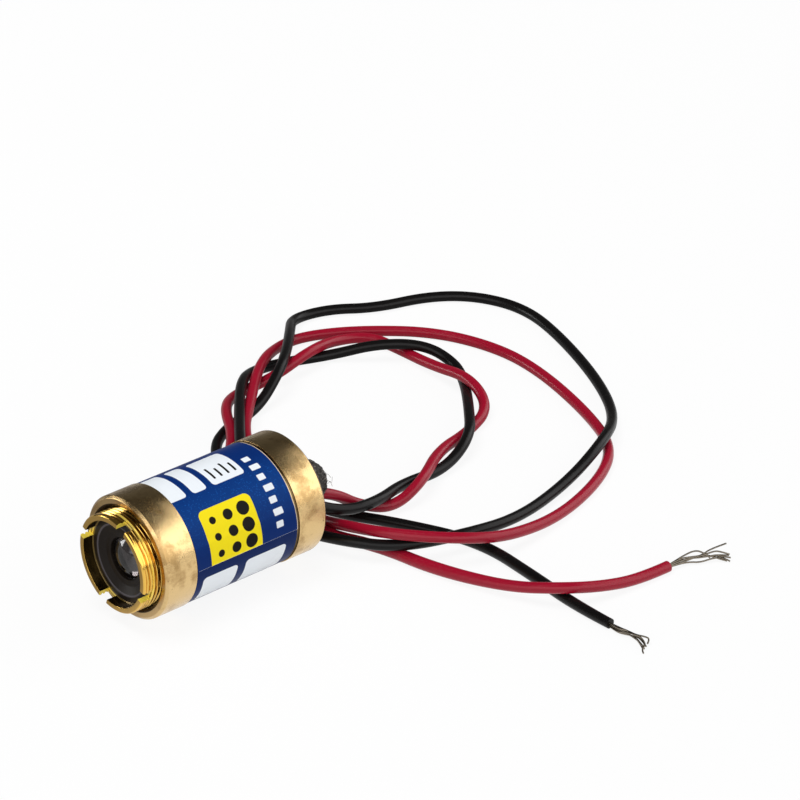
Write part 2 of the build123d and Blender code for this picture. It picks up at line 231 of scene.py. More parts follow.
def shell(name: str, points: Sequence[Point], faces: Sequence[tuple[int, ...]]) -> bpy.types.Object:
    """Make a clean smooth-shaded piece.

    Args:
        name: The piece's name.
        points: Its points in metres.
        faces: Its faces, as places in the points.

    Returns:
        The new object.
    """
    mesh = bpy.data.meshes.new(name)
    mesh.from_pydata(points, [], faces)
    clean(mesh)
    return link(mesh, name)


def carve(piece: bpy.types.Object, cutter: bpy.types.Object) -> None:
    """Cut one solid out of a piece and drop the cutter.

    Args:
        piece: The piece that is cut.
        cutter: The solid that is taken away.
    """
    cut = piece.modifiers.new("cut", "BOOLEAN")
    cut.operation, cut.solver, cut.object = "DIFFERENCE", "EXACT", cutter
    settled = bpy.data.meshes.new_from_object(piece.evaluated_get(bpy.context.evaluated_depsgraph_get()))
    piece.modifiers.clear()
    old = piece.data
    piece.data = settled
    bpy.data.meshes.remove(old)
    bpy.data.objects.remove(cutter)
    settled.set_sharp_from_angle(angle=CREASE_ANGLE)


def slab(name: str, low: Point, high: Point) -> bpy.types.Object:
    """A box between two corners, in metres, for cutting."""
    xs, ys, zs = zip(low, high)
    points = [(x, y, z) for x in xs for y in ys for z in zs]
    faces = [(0, 1, 3, 2), (4, 6, 7, 5), (0, 4, 5, 1), (2, 3, 7, 6), (0, 2, 6, 4), (1, 5, 7, 3)]
    return shell(name, points, faces)


def round_curve(name: str, radius: float, roundness: int, smoothness: int) -> bpy.types.Object:
    """Start an empty round curve, for a lead, a strand or a fibre.

    Args:
        name: The piece's name.
        radius: Its radius in millimetres.
        roundness: How finely its section is rounded.
        smoothness: Steps between two control points.

    Returns:
        The curve's object.
    """
    curve = bpy.data.curves.new(name, "CURVE")
    curve.dimensions = "3D"
    curve.bevel_depth = radius * MM
    curve.bevel_resolution = roundness
    curve.resolution_u = smoothness
    curve.use_fill_caps = True
    piece = bpy.data.objects.new(name, curve)
    bpy.context.scene.collection.objects.link(piece)
    return piece


def add_spline(curve: bpy.types.Curve, points: Sequence[Point]) -> bpy.types.Spline:
    """Add one smooth open spline to a curve.

    Args:
        curve: The curve.
        points: The spline's control points, in metres.

    Returns:
        The new spline.
    """
    spline = curve.splines.new("NURBS")
    spline.points.add(len(points) - 1)
    for slot, place in zip(spline.points, points):
        slot.co = (*place, 1.0)
        slot.radius = 1.0
    spline.order_u = 3
    spline.use_endpoint_u = True
    return spline


# Shader building


def opaque(colour: object) -> object:
    """Give a plain colour its full opacity, and pass a socket on as it is."""
    return (*colour, 1.0) if isinstance(colour, tuple) else colour


class Graph:
    """A thin hand on a node tree, so that a material reads as a list of steps."""

    def __init__(self, tree: bpy.types.NodeTree) -> None:
        """Keep the tree that the nodes go into."""
        self.tree = tree

    def node(self, kind: str, **settings: object) -> bpy.types.Node:
        """Add a node.

        Args:
            kind: The node's type without its ShaderNode prefix.
            settings: Properties of the node.

        Returns:
            The new node.
        """
        made = self.tree.nodes.new("ShaderNode" + kind)
        for key, value in settings.items():
            setattr(made, key, value)
        return made

    def feed(self, socket: bpy.types.NodeSocket, value: object) -> None:
        """Link a socket to another, or set its value."""
        if isinstance(value, bpy.types.NodeSocket):
            self.tree.links.new(value, socket)
        elif value is not None:
            socket.default_value = value

    def math(self, operation: str, a: object, b: object = None, c: object = None) -> bpy.types.NodeSocket:
        """One step of arithmetic.

        Args:
            operation: The Math node's operation.
            a: First value or socket.
            b: Second value or socket.
            c: Third value or socket.

        Returns:
            The result's socket.
        """
        step = self.node("Math", operation=operation)
        for socket, value in zip(step.inputs, (a, b, c)):
            self.feed(socket, value)
        return step.outputs[0]

    def ramp(
        self, value: object, low: object, high: object, to_low: float = 0.0, to_high: float = 1.0
    ) -> bpy.types.NodeSocket:
        """Map a range of a value to another range, easing in and out.

        Args:
            value: The value's socket.
            low: Where the range starts.
            high: Where the range ends.
            to_low: What the start becomes.
            to_high: What the end becomes.

        Returns:
            The mapped value's socket.
        """
        step = self.node("MapRange", interpolation_type="SMOOTHSTEP")
        for name, given in (("Value", value), ("From Min", low), ("From Max", high),
                            ("To Min", to_low), ("To Max", to_high)):
            self.feed(step.inputs[name], given)
        return step.outputs["Result"]

    def mix(self, share: object, first: object, second: object) -> bpy.types.NodeSocket:
        """Mix two colours.

        Args:
            share: How much of the second colour shows.
            first: The colour underneath.
            second: The colour on top.

        Returns:
            The mixed colour's socket.
        """
        step = self.node("Mix", data_type="RGBA")
        self.feed(step.inputs[0], share)
        self.feed(step.inputs[6], opaque(first))
        self.feed(step.inputs[7], opaque(second))
        return step.outputs[2]

    def noise(
        self, vector: object, scale: float, detail: float = 4.0, roughness: float = 0.5
    ) -> bpy.types.NodeSocket:
        """Cloudy noise from 0 to 1.

        Args:
            vector: The place it is read at.
            scale: How fine it is.
            detail: How many finer layers it has.
            roughness: How strong the finer layers are.

        Returns:
            The noise's socket.
        """
        step = self.node("TexNoise")
        settings = {"Vector": vector, "Scale": scale, "Detail": detail, "Roughness": roughness}
        for name, given in settings.items():
            self.feed(step.inputs[name], given)
        return step.outputs["Fac"]

    def place(self, kind: str = "Object") -> bpy.types.NodeSocket:
        """Read a texture coordinate."""
        return self.node("TexCoord").outputs[kind]

    def split(self, vector: object) -> bpy.types.bpy_prop_collection:
        """Take a vector apart into its three values."""
        parted = self.node("SeparateXYZ")
        self.feed(parted.inputs[0], vector)
        return parted.outputs

    def joined(self, *parts: object) -> bpy.types.NodeSocket:
        """Put three values together to a vector."""
        whole = self.node("CombineXYZ")
        for socket, part in zip(whole.inputs, parts):
            self.feed(socket, part)
        return whole.outputs[0]

    def reach(self, across: object, up: object) -> bpy.types.NodeSocket:
        """The length of a line that goes across and up."""
        squared = self.math("ADD", self.math("MULTIPLY", across, across), self.math("MULTIPLY", up, up))
        return self.math("SQRT", squared)

    def sized(self, size: object) -> bpy.types.NodeSocket:
        """The object's own place, counted in steps of a size in millimetres."""
        scaled = self.node("VectorMath", operation="SCALE")
        self.feed(scaled.inputs[0], self.place())
        self.feed(scaled.inputs["Scale"], self.math("DIVIDE", 1 / MM, size))
        return scaled.outputs[0]

    def dots(self, vector: object, scale: float) -> bpy.types.NodeSocket:
        """How far a place is from the nearest of many scattered points."""
        scattered = self.node("TexVoronoi")
        self.feed(scattered.inputs["Vector"], vector)
        self.feed(scattered.inputs["Scale"], scale)
        return scattered.outputs["Distance"]

    def group(self, tree: bpy.types.NodeTree, **values: object) -> bpy.types.Node:
        """Place a shared effect with this material's own values.

        Args:
            tree: The shared node group.
            values: Its inputs by name, with underscores for spaces.

        Returns:
            The group's node.
        """
        placed = self.node("Group")
        placed.node_tree = tree
        for key, value in values.items():
            self.feed(placed.inputs[key.replace("_", " ")], value)
        return placed


class Effects:
    """The shader effects that several finishes share, each built once."""

    def __init__(self) -> None:
        """Build every shared group."""
        self.unrolled = self._unrolled()
        self.turning_marks = self._turning_marks()
        self.stains = self._stains()
        self.specks = self._specks()
        self.printed_field = self._printed_field()
        self.ring_zone = self._ring_zone()
        self.end_faces = self._end_faces()
        self.milled_walls = self._milled_walls()

    @staticmethod
    def _start(name: str, inputs: dict[str, float], outputs: Sequence[str]) -> tuple[Graph, dict, dict]:
        """Open a new group with named sockets, each of them a number.

        Args:
            name: The group's name.
            inputs: Each input's name and default value.
            outputs: Each output's name.

        Returns:
            The graph, the inputs' sockets and the outputs' sockets.
        """
        tree = bpy.data.node_groups.new(name, "ShaderNodeTree")
        for key, value in inputs.items():
            made = tree.interface.new_socket(key, in_out="INPUT", socket_type="NodeSocketFloat")
            made.default_value = value
        for key in outputs:
            tree.interface.new_socket(key, in_out="OUTPUT", socket_type="NodeSocketFloat")
        graph = Graph(tree)
        start, end = tree.nodes.new("NodeGroupInput"), tree.nodes.new("NodeGroupOutput")
        return graph, {s.name: s for s in start.outputs}, {s.name: s for s in end.inputs}

    def _unrolled(self) -> bpy.types.NodeTree:
        """The barrel's skin laid flat, in millimetres round it, from +X towards +Z, and along it."""
        graph, _, out = self._start("unrolled_barrel", {}, ("Round", "Along", "Radius"))
        place = graph.split(graph.place())
        x = graph.math("MULTIPLY", place[0], 1 / MM)
        z = graph.math("MULTIPLY_ADD", place[2], 1 / MM, -FRAME.axis_height)
        graph.feed(out["Round"], graph.math("MULTIPLY", graph.math("ARCTAN2", z, x), FRAME.axis_height))
        graph.feed(out["Along"], graph.math("MULTIPLY_ADD", place[1], 1 / MM, -FRAME.front_face))
        graph.feed(out["Radius"], graph.reach(x, z))
        return graph.tree

    def _turning_marks(self) -> bpy.types.NodeTree:
        """Fine rings that a lathe tool leaves round the axis, broken up by a short grain."""
        graph, given, out = self._start("turning_marks", {"Fineness": 1.0, "Grain": 1.0}, ("Height", "Tone"))
        skin = graph.group(self.unrolled).outputs

        def stretched(*shares: object) -> bpy.types.NodeSocket:
            """The unrolled place, with its own share for each direction."""
            names = ("Round", "Along", "Radius")
            return graph.joined(*(graph.math("MULTIPLY", skin[n], share) for n, share in zip(names, shares)))

        lines = graph.noise(stretched(0.05, given["Fineness"], given["Fineness"]), 9.0, 3.0, 0.6)
        grain = graph.noise(stretched(4.0, 6.0, 6.0), 1.6, 4.0, 0.7)
        both = graph.math("MULTIPLY_ADD", grain, given["Grain"], lines)
        graph.feed(out["Height"], both)
        graph.feed(out["Tone"], graph.ramp(both, 0.6, 1.4))
        return graph.tree

    def _stains(self) -> bpy.types.NodeTree:
        """Smears and spots of tarnish."""
        graph, given, out = self._start("stains", {"Size": 1.0, "Amount": 0.5}, ("Smear", "Spots"))
        place = graph.sized(given["Size"])
        clouds = graph.noise(place, 0.35, 5.0, 0.62)
        low = graph.math("MULTIPLY_ADD", given["Amount"], -0.3, 0.72)
        graph.feed(out["Smear"], graph.ramp(clouds, low, graph.math("ADD", low, 0.22)))
        spots = graph.ramp(graph.dots(place, 1.3), 0.14, 0.05)
        patches = graph.ramp(graph.noise(place, 0.5), 0.48, 0.62)
        graph.feed(out["Spots"], graph.math("MULTIPLY", spots, patches))
        return graph.tree

    def _specks(self) -> bpy.types.NodeTree:
        """Small bright and dark specks of dust and grit."""
        graph, given, out = self._start("specks", {"Size": 0.2, "Share": 0.3}, ("Mask", "Height"))
        place = graph.sized(given["Size"])
        chosen = graph.math("LESS_THAN", graph.noise(place, 0.7, 1.0), given["Share"])
        graph.feed(out["Mask"], graph.math("MULTIPLY", graph.ramp(graph.dots(place, 1.0), 0.42, 0.2), chosen))
        graph.feed(out["Height"], graph.noise(place, 0.5, 5.0, 0.65))
        return graph.tree

    def _printed_field(self) -> bpy.types.NodeTree:
        """A filled shape with rounded corners on the unrolled label."""
        graph, given, out = self._start(
            "printed_field",
            {"Round": 0.0, "Along": 0.0, "Half Round": 1.0, "Half Along": 1.0, "Corner": 0.3,
             "Softness": 0.03},
            ("Mask",),
        )
        skin = graph.group(self.unrolled)
        reach = []
        for axis in ("Round", "Along"):
            offset = graph.math("ABSOLUTE", graph.math("SUBTRACT", skin.outputs[axis], given[axis]))
            inner = graph.math("SUBTRACT", given["Half " + axis], given["Corner"])
            reach.append(graph.math("MAXIMUM", graph.math("SUBTRACT", offset, inner), 0.0))
        edge = graph.math("SUBTRACT", graph.reach(*reach), given["Corner"])
        share = graph.math("DIVIDE", edge, given["Softness"])
        graph.feed(out["Mask"], graph.ramp(share, 1.0, -1.0))
        return graph.tree

    def _ring_zone(self) -> bpy.types.NodeTree:
        """A ring about the barrel's axis, used for painted shade in a gap or a painted highlight on a lip."""
        graph, given, out = self._start(
            "ring_zone",
            {"Inner Radius": 0.0, "Outer Radius": 1.0, "Front": 0.0, "Back": 1.0, "Softness": 0.05},
            ("Mask",),
        )
        skin = graph.group(self.unrolled)
        soft = given["Softness"]
        parts = []
        for place, low, high in (("Radius", "Inner Radius", "Outer Radius"), ("Along", "Front", "Back")):
            above = graph.math("DIVIDE", graph.math("SUBTRACT", skin.outputs[place], given[low]), soft)
            below = graph.math("DIVIDE", graph.math("SUBTRACT", given[high], skin.outputs[place]), soft)
            parts += [graph.ramp(above, -0.5, 0.5), graph.ramp(below, -0.5, 0.5)]
        inside = graph.math("MULTIPLY", parts[0], parts[1])
        along = graph.math("MULTIPLY", parts[2], parts[3])
        graph.feed(out["Mask"], graph.math("MULTIPLY", inside, along))
        return graph.tree

    def _milled_walls(self) -> bpy.types.NodeTree:
        """The walls of the slots, which look round the axis."""
        graph, _, out = self._start("milled_walls", {}, ("Mask",))
        place, facing = graph.split(graph.place()), graph.split(graph.place("Normal"))
        x, z = place[0], graph.math("ADD", place[2], -FRAME.axis_height * MM)
        across = graph.math("SUBTRACT", graph.math("MULTIPLY", x, facing[2]),
                            graph.math("MULTIPLY", z, facing[0]))
        share = graph.math("DIVIDE", graph.math("ABSOLUTE", across), graph.reach(x, z))
        graph.feed(out["Mask"], graph.ramp(share, 0.8, 0.95))
        return graph.tree

    def _end_faces(self) -> bpy.types.NodeTree:
        """The faces that look out of the barrel's front."""
        graph, _, out = self._start("end_faces", {}, ("Mask",))
        graph.feed(out["Mask"], graph.ramp(graph.split(graph.place("Normal"))[1], -0.6, -0.92))
        return graph.tree


@dataclass(frozen=True)
class Finish:
    """What every finish has: a name, and a way to turn into a material."""

    name: str

    def open(self) -> tuple[bpy.types.Material, Graph, bpy.types.Node]:
        """Start a material.

        Returns:
            The material, its graph and its shader.
        """
        material = bpy.data.materials.new(self.name)
        material.use_nodes = True
        graph = Graph(material.node_tree)
        return material, graph, material.node_tree.nodes["Principled BSDF"]

    @staticmethod
    def bump(graph: Graph, shader: bpy.types.Node, height: object, distance: float) -> None:
        """Raise the surface by a height.

        Args:
            graph: The material's graph.
            shader: The material's shader.
            height: The height's socket, from 0 to 1.
            distance: What a height of 1 measures, in millimetres.
        """
        raised = graph.node("Bump")
        graph.feed(raised.inputs["Height"], height)
        raised.inputs["Distance"].default_value = distance * MM
        raised.inputs["Strength"].default_value = 1.0
        graph.feed(shader.inputs["Normal"], raised.outputs[0])


@dataclass(frozen=True)
class Zone:
    """A ring about the axis that gets a colour of its own, in millimetres: painted shade in a gap, bore or
    groove, or a painted highlight on a lip or slot floor.
    """

    inner: float
    outer: float
    front: float
    back: float
    colour: tuple[float, float, float]
    share: float = 1.0
    softness: float = 0.08
    metal: float = 1.0

    def mask(self, graph: Graph, effects: Effects) -> bpy.types.NodeSocket:
        """Where the ring lies.

        Args:
            graph: The material's graph.
            effects: The shared shader effects.

        Returns:
            The mask's socket.
        """
        placed = graph.group(
            effects.ring_zone, Inner_Radius=self.inner, Outer_Radius=self.outer, Front=self.front,
            Back=self.back, Softness=self.softness,
        )
        return graph.math("MULTIPLY", placed.outputs["Mask"], self.share)


@dataclass(frozen=True)
class TurnedMetal(Finish):
    """Bare metal from the lathe, with tool rings, a short grain and tarnish; it can also carry painted shade on
    its front faces, painted shade and highlights in rings, and a painted highlight on its slot walls.
    """

    colour: tuple[float, float, float]
    tarnish: tuple[float, float, float]
    roughness: float = 0.3
    grain: float = 0.6
    fineness: float = 1.0
    ring_height: float = 0.004
    stain_size: float = 3.0
    stain_amount: float = 0.5
    end_face_shade: float = 0.0
    zones: tuple[Zone, ...] = ()
    fresh_cut_highlight: tuple[float, ...] = ()
    tone_share: float = 0.25
    smear_share: float = 0.75
    spot_share: float = 0.7
    spot_shade: float = 0.35
    wall_share: float = 0.9
    highlight_metal_drop: float = 0.75
    smear_roughness: float = 0.1
    tone_roughness: float = 0.07

    def build(self, effects: Effects) -> bpy.types.Material:
        """Build the material.

        Args:
            effects: The shared shader effects.

        Returns:
            The finished material.
        """
        material, graph, shader = self.open()
        marks = graph.group(effects.turning_marks, Fineness=self.fineness, Grain=self.grain)
        stains = graph.group(effects.stains, Size=self.stain_size, Amount=self.stain_amount)
        tone, smear = marks.outputs["Tone"], stains.outputs["Smear"]
        toned = graph.mix(graph.math("MULTIPLY", tone, self.tone_share), self.colour, self.tarnish)
        smeared = graph.mix(graph.math("MULTIPLY", smear, self.smear_share), toned, self.tarnish)
        colour = graph.mix(graph.math("MULTIPLY", stains.outputs["Spots"], self.spot_share), smeared,
                           tuple(c * self.spot_shade for c in self.tarnish))
        # Painted shade: faces that look out of the front are darkened towards the tarnish colour by their
        # facing alone.
        if self.end_face_shade:
            ends = graph.group(effects.end_faces).outputs["Mask"]
            colour = graph.mix(graph.math("MULTIPLY", ends, self.end_face_shade), colour, self.tarnish)
        metal: object = 1.0
        # The zones lay painted shade and painted highlights over the metal; a zone with a metal share below 1
        # shows its colour less metallic.
        for zone in self.zones:
            mask = zone.mask(graph, effects)
            colour = graph.mix(mask, colour, zone.colour)
            if zone.metal < 1.0:
                metal = graph.math("MULTIPLY_ADD", mask, zone.metal - 1.0, metal)
        # Fresh-cut brass with a painted highlight: the slot walls are painted bright yellow and made less
        # metallic, so that they stay bright under any light.
        if self.fresh_cut_highlight:
            walls = graph.group(effects.milled_walls).outputs["Mask"]
            walls = graph.math("MULTIPLY", walls, self.wall_share)
            colour = graph.mix(walls, colour, self.fresh_cut_highlight)
            metal = graph.math("MULTIPLY_ADD", walls, -self.highlight_metal_drop, metal)
        graph.feed(shader.inputs["Base Color"], colour)
        graph.feed(shader.inputs["Metallic"], metal)
        rough = graph.math("MULTIPLY_ADD", smear, self.smear_roughness, self.roughness)
        graph.feed(shader.inputs["Roughness"], graph.math("MULTIPLY_ADD", tone, self.tone_roughness, rough))
        self.bump(graph, shader, marks.outputs["Height"], self.ring_height)
        return material


@dataclass(frozen=True)
class Insulation(Finish):
    """Soft extruded plastic with a faint orange peel, scuffs and dust."""

    colour: tuple[float, float, float]
    scuff: tuple[float, float, float]
    roughness: float = 0.42
    peel: float = 0.02
    scuff_amount: float = 0.35
    gloss: float = 0.4
    scuff_size: float = 1.6
    dust_size: float = 0.22
    dust_share: float = 0.36
    scuff_tone: float = 0.35
    dust_tone: float = 0.3
    scuff_roughness: float = 0.2

    def build(self, effects: Effects) -> bpy.types.Material:
        """Build the material.

        Args:
            effects: The shared shader effects.

        Returns:
            The finished material.
        """
        material, graph, shader = self.open()
        scuffs = graph.group(effects.stains, Size=self.scuff_size, Amount=self.scuff_amount).outputs["Smear"]
        dust = graph.group(effects.specks, Size=self.dust_size, Share=self.dust_share)
        scuffed = graph.mix(graph.math("MULTIPLY", scuffs, self.scuff_tone), self.colour, self.scuff)
        dusty = graph.mix(graph.math("MULTIPLY", dust.outputs["Mask"], self.dust_tone), scuffed, self.scuff)
        graph.feed(shader.inputs["Base Color"], dusty)
        graph.feed(shader.inputs["Roughness"],
                   graph.math("MULTIPLY_ADD", scuffs, self.scuff_roughness, self.roughness))
        shader.inputs["Specular IOR Level"].default_value = self.gloss
        self.bump(graph, shader, dust.outputs["Height"], self.peel)
        return material


@dataclass(frozen=True)
class Moulded(Finish):
    """Hard moulded or fired material, such as a chip's body, a board or a black ring."""

    colour: tuple[float, float, float]
    roughness: float = 0.4
    speck: tuple[float, float, float] = (0.3, 0.3, 0.3)
    speck_size: float = 0.3
    speck_share: float = 0.3
    relief: float = 0.01
    gloss: float = 0.5
    zones: tuple[Zone, ...] = ()
    speck_tone: float = 0.35
    speck_roughness: float = 0.15

    def build(self, effects: Effects) -> bpy.types.Material:
        """Build the material.

        Args:
            effects: The shared shader effects.

        Returns:
            The finished material.
        """
        material, graph, shader = self.open()
        grit = graph.group(effects.specks, Size=self.speck_size, Share=self.speck_share)
        specks = graph.math("MULTIPLY", grit.outputs["Mask"], self.speck_tone)
        colour = graph.mix(specks, self.colour, self.speck)
        for zone in self.zones:
            colour = graph.mix(zone.mask(graph, effects), colour, zone.colour)
        graph.feed(shader.inputs["Base Color"], colour)
        graph.feed(shader.inputs["Roughness"],
                   graph.math("MULTIPLY_ADD", grit.outputs["Height"], self.speck_roughness, self.roughness))
        shader.inputs["Specular IOR Level"].default_value = self.gloss
        self.bump(graph, shader, grit.outputs["Height"], self.relief)
        return material


@dataclass(frozen=True)
class Glass(Finish):
    """Coated optical glass with a faint film of dust."""

    tint: tuple[float, float, float]
    roughness: float = 0.02
    clearness: float = 0.96
    refraction: float = 1.6
    dust: tuple[float, float, float] = (0.8, 0.8, 0.8)
    dust_size: float = 0.35
    dust_share: float = 0.33
    dust_tone: float = 0.03
    dust_roughness: float = 0.05

    def build(self, effects: Effects) -> bpy.types.Material:
        """Build the material.

        Args:
            effects: The shared shader effects.

        Returns:
            The finished material.
        """
        material, graph, shader = self.open()
        dust = graph.group(effects.specks, Size=self.dust_size, Share=self.dust_share).outputs["Mask"]
        shader.inputs["Transmission Weight"].default_value = self.clearness
        shader.inputs["IOR"].default_value = self.refraction
        graph.feed(shader.inputs["Base Color"],
                   graph.mix(graph.math("MULTIPLY", dust, self.dust_tone), self.tint, self.dust))
        graph.feed(shader.inputs["Roughness"],
                   graph.math("MULTIPLY_ADD", dust, self.dust_roughness, self.roughness))
        return material


@dataclass(frozen=True)
class Field:
    """A printed shape on the label, in millimetres round and along the barrel."""

    round_low: float
    round_high: float
    along_low: float
    along_high: float
    corner: float
    colour: tuple[float, float, float]

    def mask(self, graph: Graph, effects: Effects) -> bpy.types.NodeSocket:
        """Where the field is printed.

        Args:
            graph: The label's graph.
            effects: The shared shader effects.

        Returns:
            The mask's socket.
        """
        placed = graph.group(
            effects.printed_field,
            Round=(self.round_low + self.round_high) / 2, Along=(self.along_low + self.along_high) / 2,
            Half_Round=(self.round_high - self.round_low) / 2,
            Half_Along=(self.along_high - self.along_low) / 2, Corner=self.corner,
        )
        return placed.outputs["Mask"]


@dataclass(frozen=True)
class PrintedFilm(Finish):
    """Glossy printed film: a blue ground with plain fields of other colours."""

    ground: tuple[float, float, float]
    glow: tuple[float, float, float]
    fields: tuple[Field, ...]
    dot_size: float = 0.2
    dot_share: float = 0.5
    glow_rise: tuple[float, float] = (1.0, 6.0)
    glow_fall: tuple[float, float] = (11.0, 6.5)
    dot_tone: float = 0.75
    glow_tone: float = 0.3
    roughness: float = 0.3
    dot_roughness: float = 0.14
    gloss: float = 0.05
    relief: float = 0.012

    def build(self, effects: Effects) -> bpy.types.Material:
        """Build the material.

        Args:
            effects: The shared shader effects.

        Returns:
            The finished material.
        """
        material, graph, shader = self.open()
        turned = graph.group(effects.unrolled).outputs["Round"]
        dots = graph.group(effects.specks, Size=self.dot_size, Share=self.dot_share)
        rise, fall = graph.ramp(turned, *self.glow_rise), graph.ramp(turned, *self.glow_fall)
        band = graph.math("MULTIPLY", rise, fall)
        speckled = graph.math("MULTIPLY_ADD", dots.outputs["Mask"], self.dot_tone, self.glow_tone)
        colour = graph.mix(graph.math("MULTIPLY", band, speckled), self.ground, self.glow)
        for printed in self.fields:
            colour = graph.mix(printed.mask(graph, effects), colour, printed.colour)
        graph.feed(shader.inputs["Base Color"], colour)
        graph.feed(shader.inputs["Roughness"],
                   graph.math("MULTIPLY_ADD", dots.outputs["Height"], self.dot_roughness, self.roughness))
        shader.inputs["Specular IOR Level"].default_value = self.gloss
        self.bump(graph, shader, dots.outputs["Height"], self.relief)
        return material


class Finishes:
    """Every material of the module, built once."""

    def __init__(self) -> None:
        """Build the shared effects and the materials."""
        effects = Effects()
        white, ink, yellow = (0.76, 0.80, 0.84), (0.008, 0.007, 0.006), (0.86, 0.70, 0.012)
        blue, navy, rear_edge_highlight = (0.003, 0.022, 0.13), (0.004, 0.016, 0.085), (0.85, 0.7, 0.5)
        fields = (
            Field(8.7, 14.9, 4.0, 6.7, 0.45, white),
            Field(8.7, 14.6, 7.6, 9.6, 0.45, white),
            Field(8.7, 14.2, 10.5, 15.1, 0.45, white),
            *(Field(9.5, 11.6 - 0.5 * (i % 2), 11.2 + i, 11.5 + i, 0.1, ink) for i in range(4)),
            Field(-1.5, 6.4, 6.4, 13.8, 0.8, yellow),
            *(
                Field(0.9 + 2.0 * i - size, 0.9 + 2.0 * i + size, 7.9 + 2.2 * j - size, 7.9 + 2.2 * j + size,
                      size, ink)
                for j, size in enumerate((0.45, 0.65, 0.85))
                for i in range(3)
            ),
            *(Field(1.0 + 1.5 * i, 1.8 + 1.5 * i, 16.0, 17.0 + 0.3 * (i % 2), 0.12, white) for i in range(7)),
            Field(-8.0, -0.22, 3.0, 20.0, 0.05, navy),
            Field(-6.1, -1.6, 5.4, 10.4, 0.55, white),
            Field(-6.1, -1.6, 11.6, 17.5, 0.55, white),
            Field(-0.24, -0.18, 4.5, 18.9, 0.03, (0.6, 0.64, 0.7)),
            # Painted highlight: a thin copper-cream line along the label's rear edge.
            Field(-0.2, 14.5, 18.93, 19.1, 0.02, rear_edge_highlight),
        )
        gap_shade, brown = (0.03, 0.02, 0.008), (0.34, 0.22, 0.09)
        bore_shade = (0.10, 0.065, 0.025)
        # Painted shade: the barrel's mouth by the lens cell, its focus bore and the gaps at both edges of the
        # label are darkened to near black.
        barrel_zones = (
            Zone(5.9, 6.56, -0.1, 0.7, gap_shade, 0.95),
            Zone(5.9, 6.2, 0.3, 12.0, gap_shade, 0.9),
            Zone(7.2, 7.42, 4.2, 4.5, gap_shade, 0.9),
            Zone(7.2, 7.42, 19.1, 19.5, gap_shade, 0.8),
        )
        cell_zones = (
            # Painted highlight: the slot floors are bright yellow and less metallic.
            Zone(4.9, 6.05, -0.8, -0.6, (0.95, 0.72, 0.12), 0.85, 0.04, 0.35),
            # Painted shade in the cell's bores.
            Zone(4.6, 5.32, -2.06, 7.0, bore_shade, 0.92),
            # Painted shade in the thread's grooves.
            Zone(5.55, 5.78, -1.9, 1.8, (0.16, 0.08, 0.012), 0.75, 0.05),
        )
        # Painted highlight: a pale grey ring on the black ring's lip.
        lip = Zone(4.24, 4.46, -0.9, -0.68, (0.075, 0.066, 0.072), 1.0, 0.03)
        finishes = {
            # The barrel's last number paints shade on its front faces.
            "barrel": TurnedMetal("barrel_brass", (0.86, 0.62, 0.30), (0.34, 0.20, 0.07), 0.12, 2.0, 1.0,
                                  0.009, 1.05, 0.92, 0.5, barrel_zones),
            # The cell's last number paints shade on its front faces, and its last colour paints a highlight on
            # its slot walls.
            "cell": TurnedMetal("cell_brass", (0.84, 0.51, 0.10), (0.30, 0.19, 0.09), 0.14, 0.4, 1.0,
                                0.003, 2.0, 0.4, 0.4, cell_zones, (1.0, 0.80, 0.10)),
            "holder": TurnedMetal("holder_brass", (0.78, 0.58, 0.28), brown, 0.3),
            "gold": TurnedMetal("gold_plate", (0.92, 0.70, 0.32), (0.5, 0.36, 0.14), 0.22, 0.3),
            "steel": TurnedMetal("washer_steel", (0.62, 0.61, 0.6), (0.3, 0.29, 0.28), 0.3),
            "spring": TurnedMetal("spring_steel", (0.56, 0.55, 0.54), (0.26, 0.25, 0.24), 0.28),
            "cap": TurnedMetal("cap_steel", (0.72, 0.71, 0.7), (0.4, 0.39, 0.37), 0.22, 0.3),
            "solder": TurnedMetal("solder", (0.74, 0.74, 0.73), (0.4, 0.4, 0.39), 0.3, 0.9),
            "tinned": TurnedMetal("tinned_copper", (0.22, 0.19, 0.15), (0.06, 0.045, 0.03), 0.3, 0.9),
            "insert": Moulded("black_insert", (0.009, 0.006, 0.004), 0.38, (0.05, 0.04, 0.03), 0.25, 0.32,
                              0.004, 0.2, (lip,)),
            "cushion": Moulded("cushion_rubber", (0.03, 0.03, 0.03), 0.7),
            "resin": Moulded("resin", (0.02, 0.017, 0.015), 0.5, (0.55, 0.49, 0.42), 0.24, 0.5, 0.14, 0.4),
            "fibre": Moulded("dust_fibre", (0.22, 0.2, 0.18), 0.8, (0.5, 0.47, 0.43), 0.3, 0.5, 0.002, 0.1),
            "die": Moulded("semiconductor", (0.12, 0.12, 0.15), 0.15),
            "board": Moulded("board_laminate", (0.02, 0.16, 0.06), 0.35, (0.05, 0.3, 0.12), 0.35, 0.4, 0.01),
            "chip": Moulded("chip_plastic", (0.03, 0.03, 0.032), 0.5),
            "ceramic": Moulded("ceramic", (0.45, 0.3, 0.17), 0.4),
            "resistor": Moulded("resistor_ceramic", (0.05, 0.05, 0.055), 0.35),
            "trimmer": Moulded("trimmer_plastic", (0.05, 0.14, 0.42), 0.4),
            "red": Insulation("red_insulation", (0.29, 0.004, 0.02), (0.42, 0.04, 0.065), 0.28, 0.02,
                              0.35, 0.28),
            "black": Insulation("black_insulation", (0.004, 0.0035, 0.0035), (0.03, 0.027, 0.025), 0.3,
                                0.02, 0.3, 0.17),
            "film": PrintedFilm("label_film", blue, (0.006, 0.075, 0.32), fields),
            "lens": Glass("lens_glass", (0.09, 0.08, 0.08)),
            "window": Glass("window_glass", (0.9, 0.94, 0.94)),
        }
        self.by_name = {key: finish.build(effects) for key, finish in finishes.items()}

    def __getitem__(self, key: str) -> bpy.types.Material:
        """Look a material up by its short name."""
        return self.by_name[key]


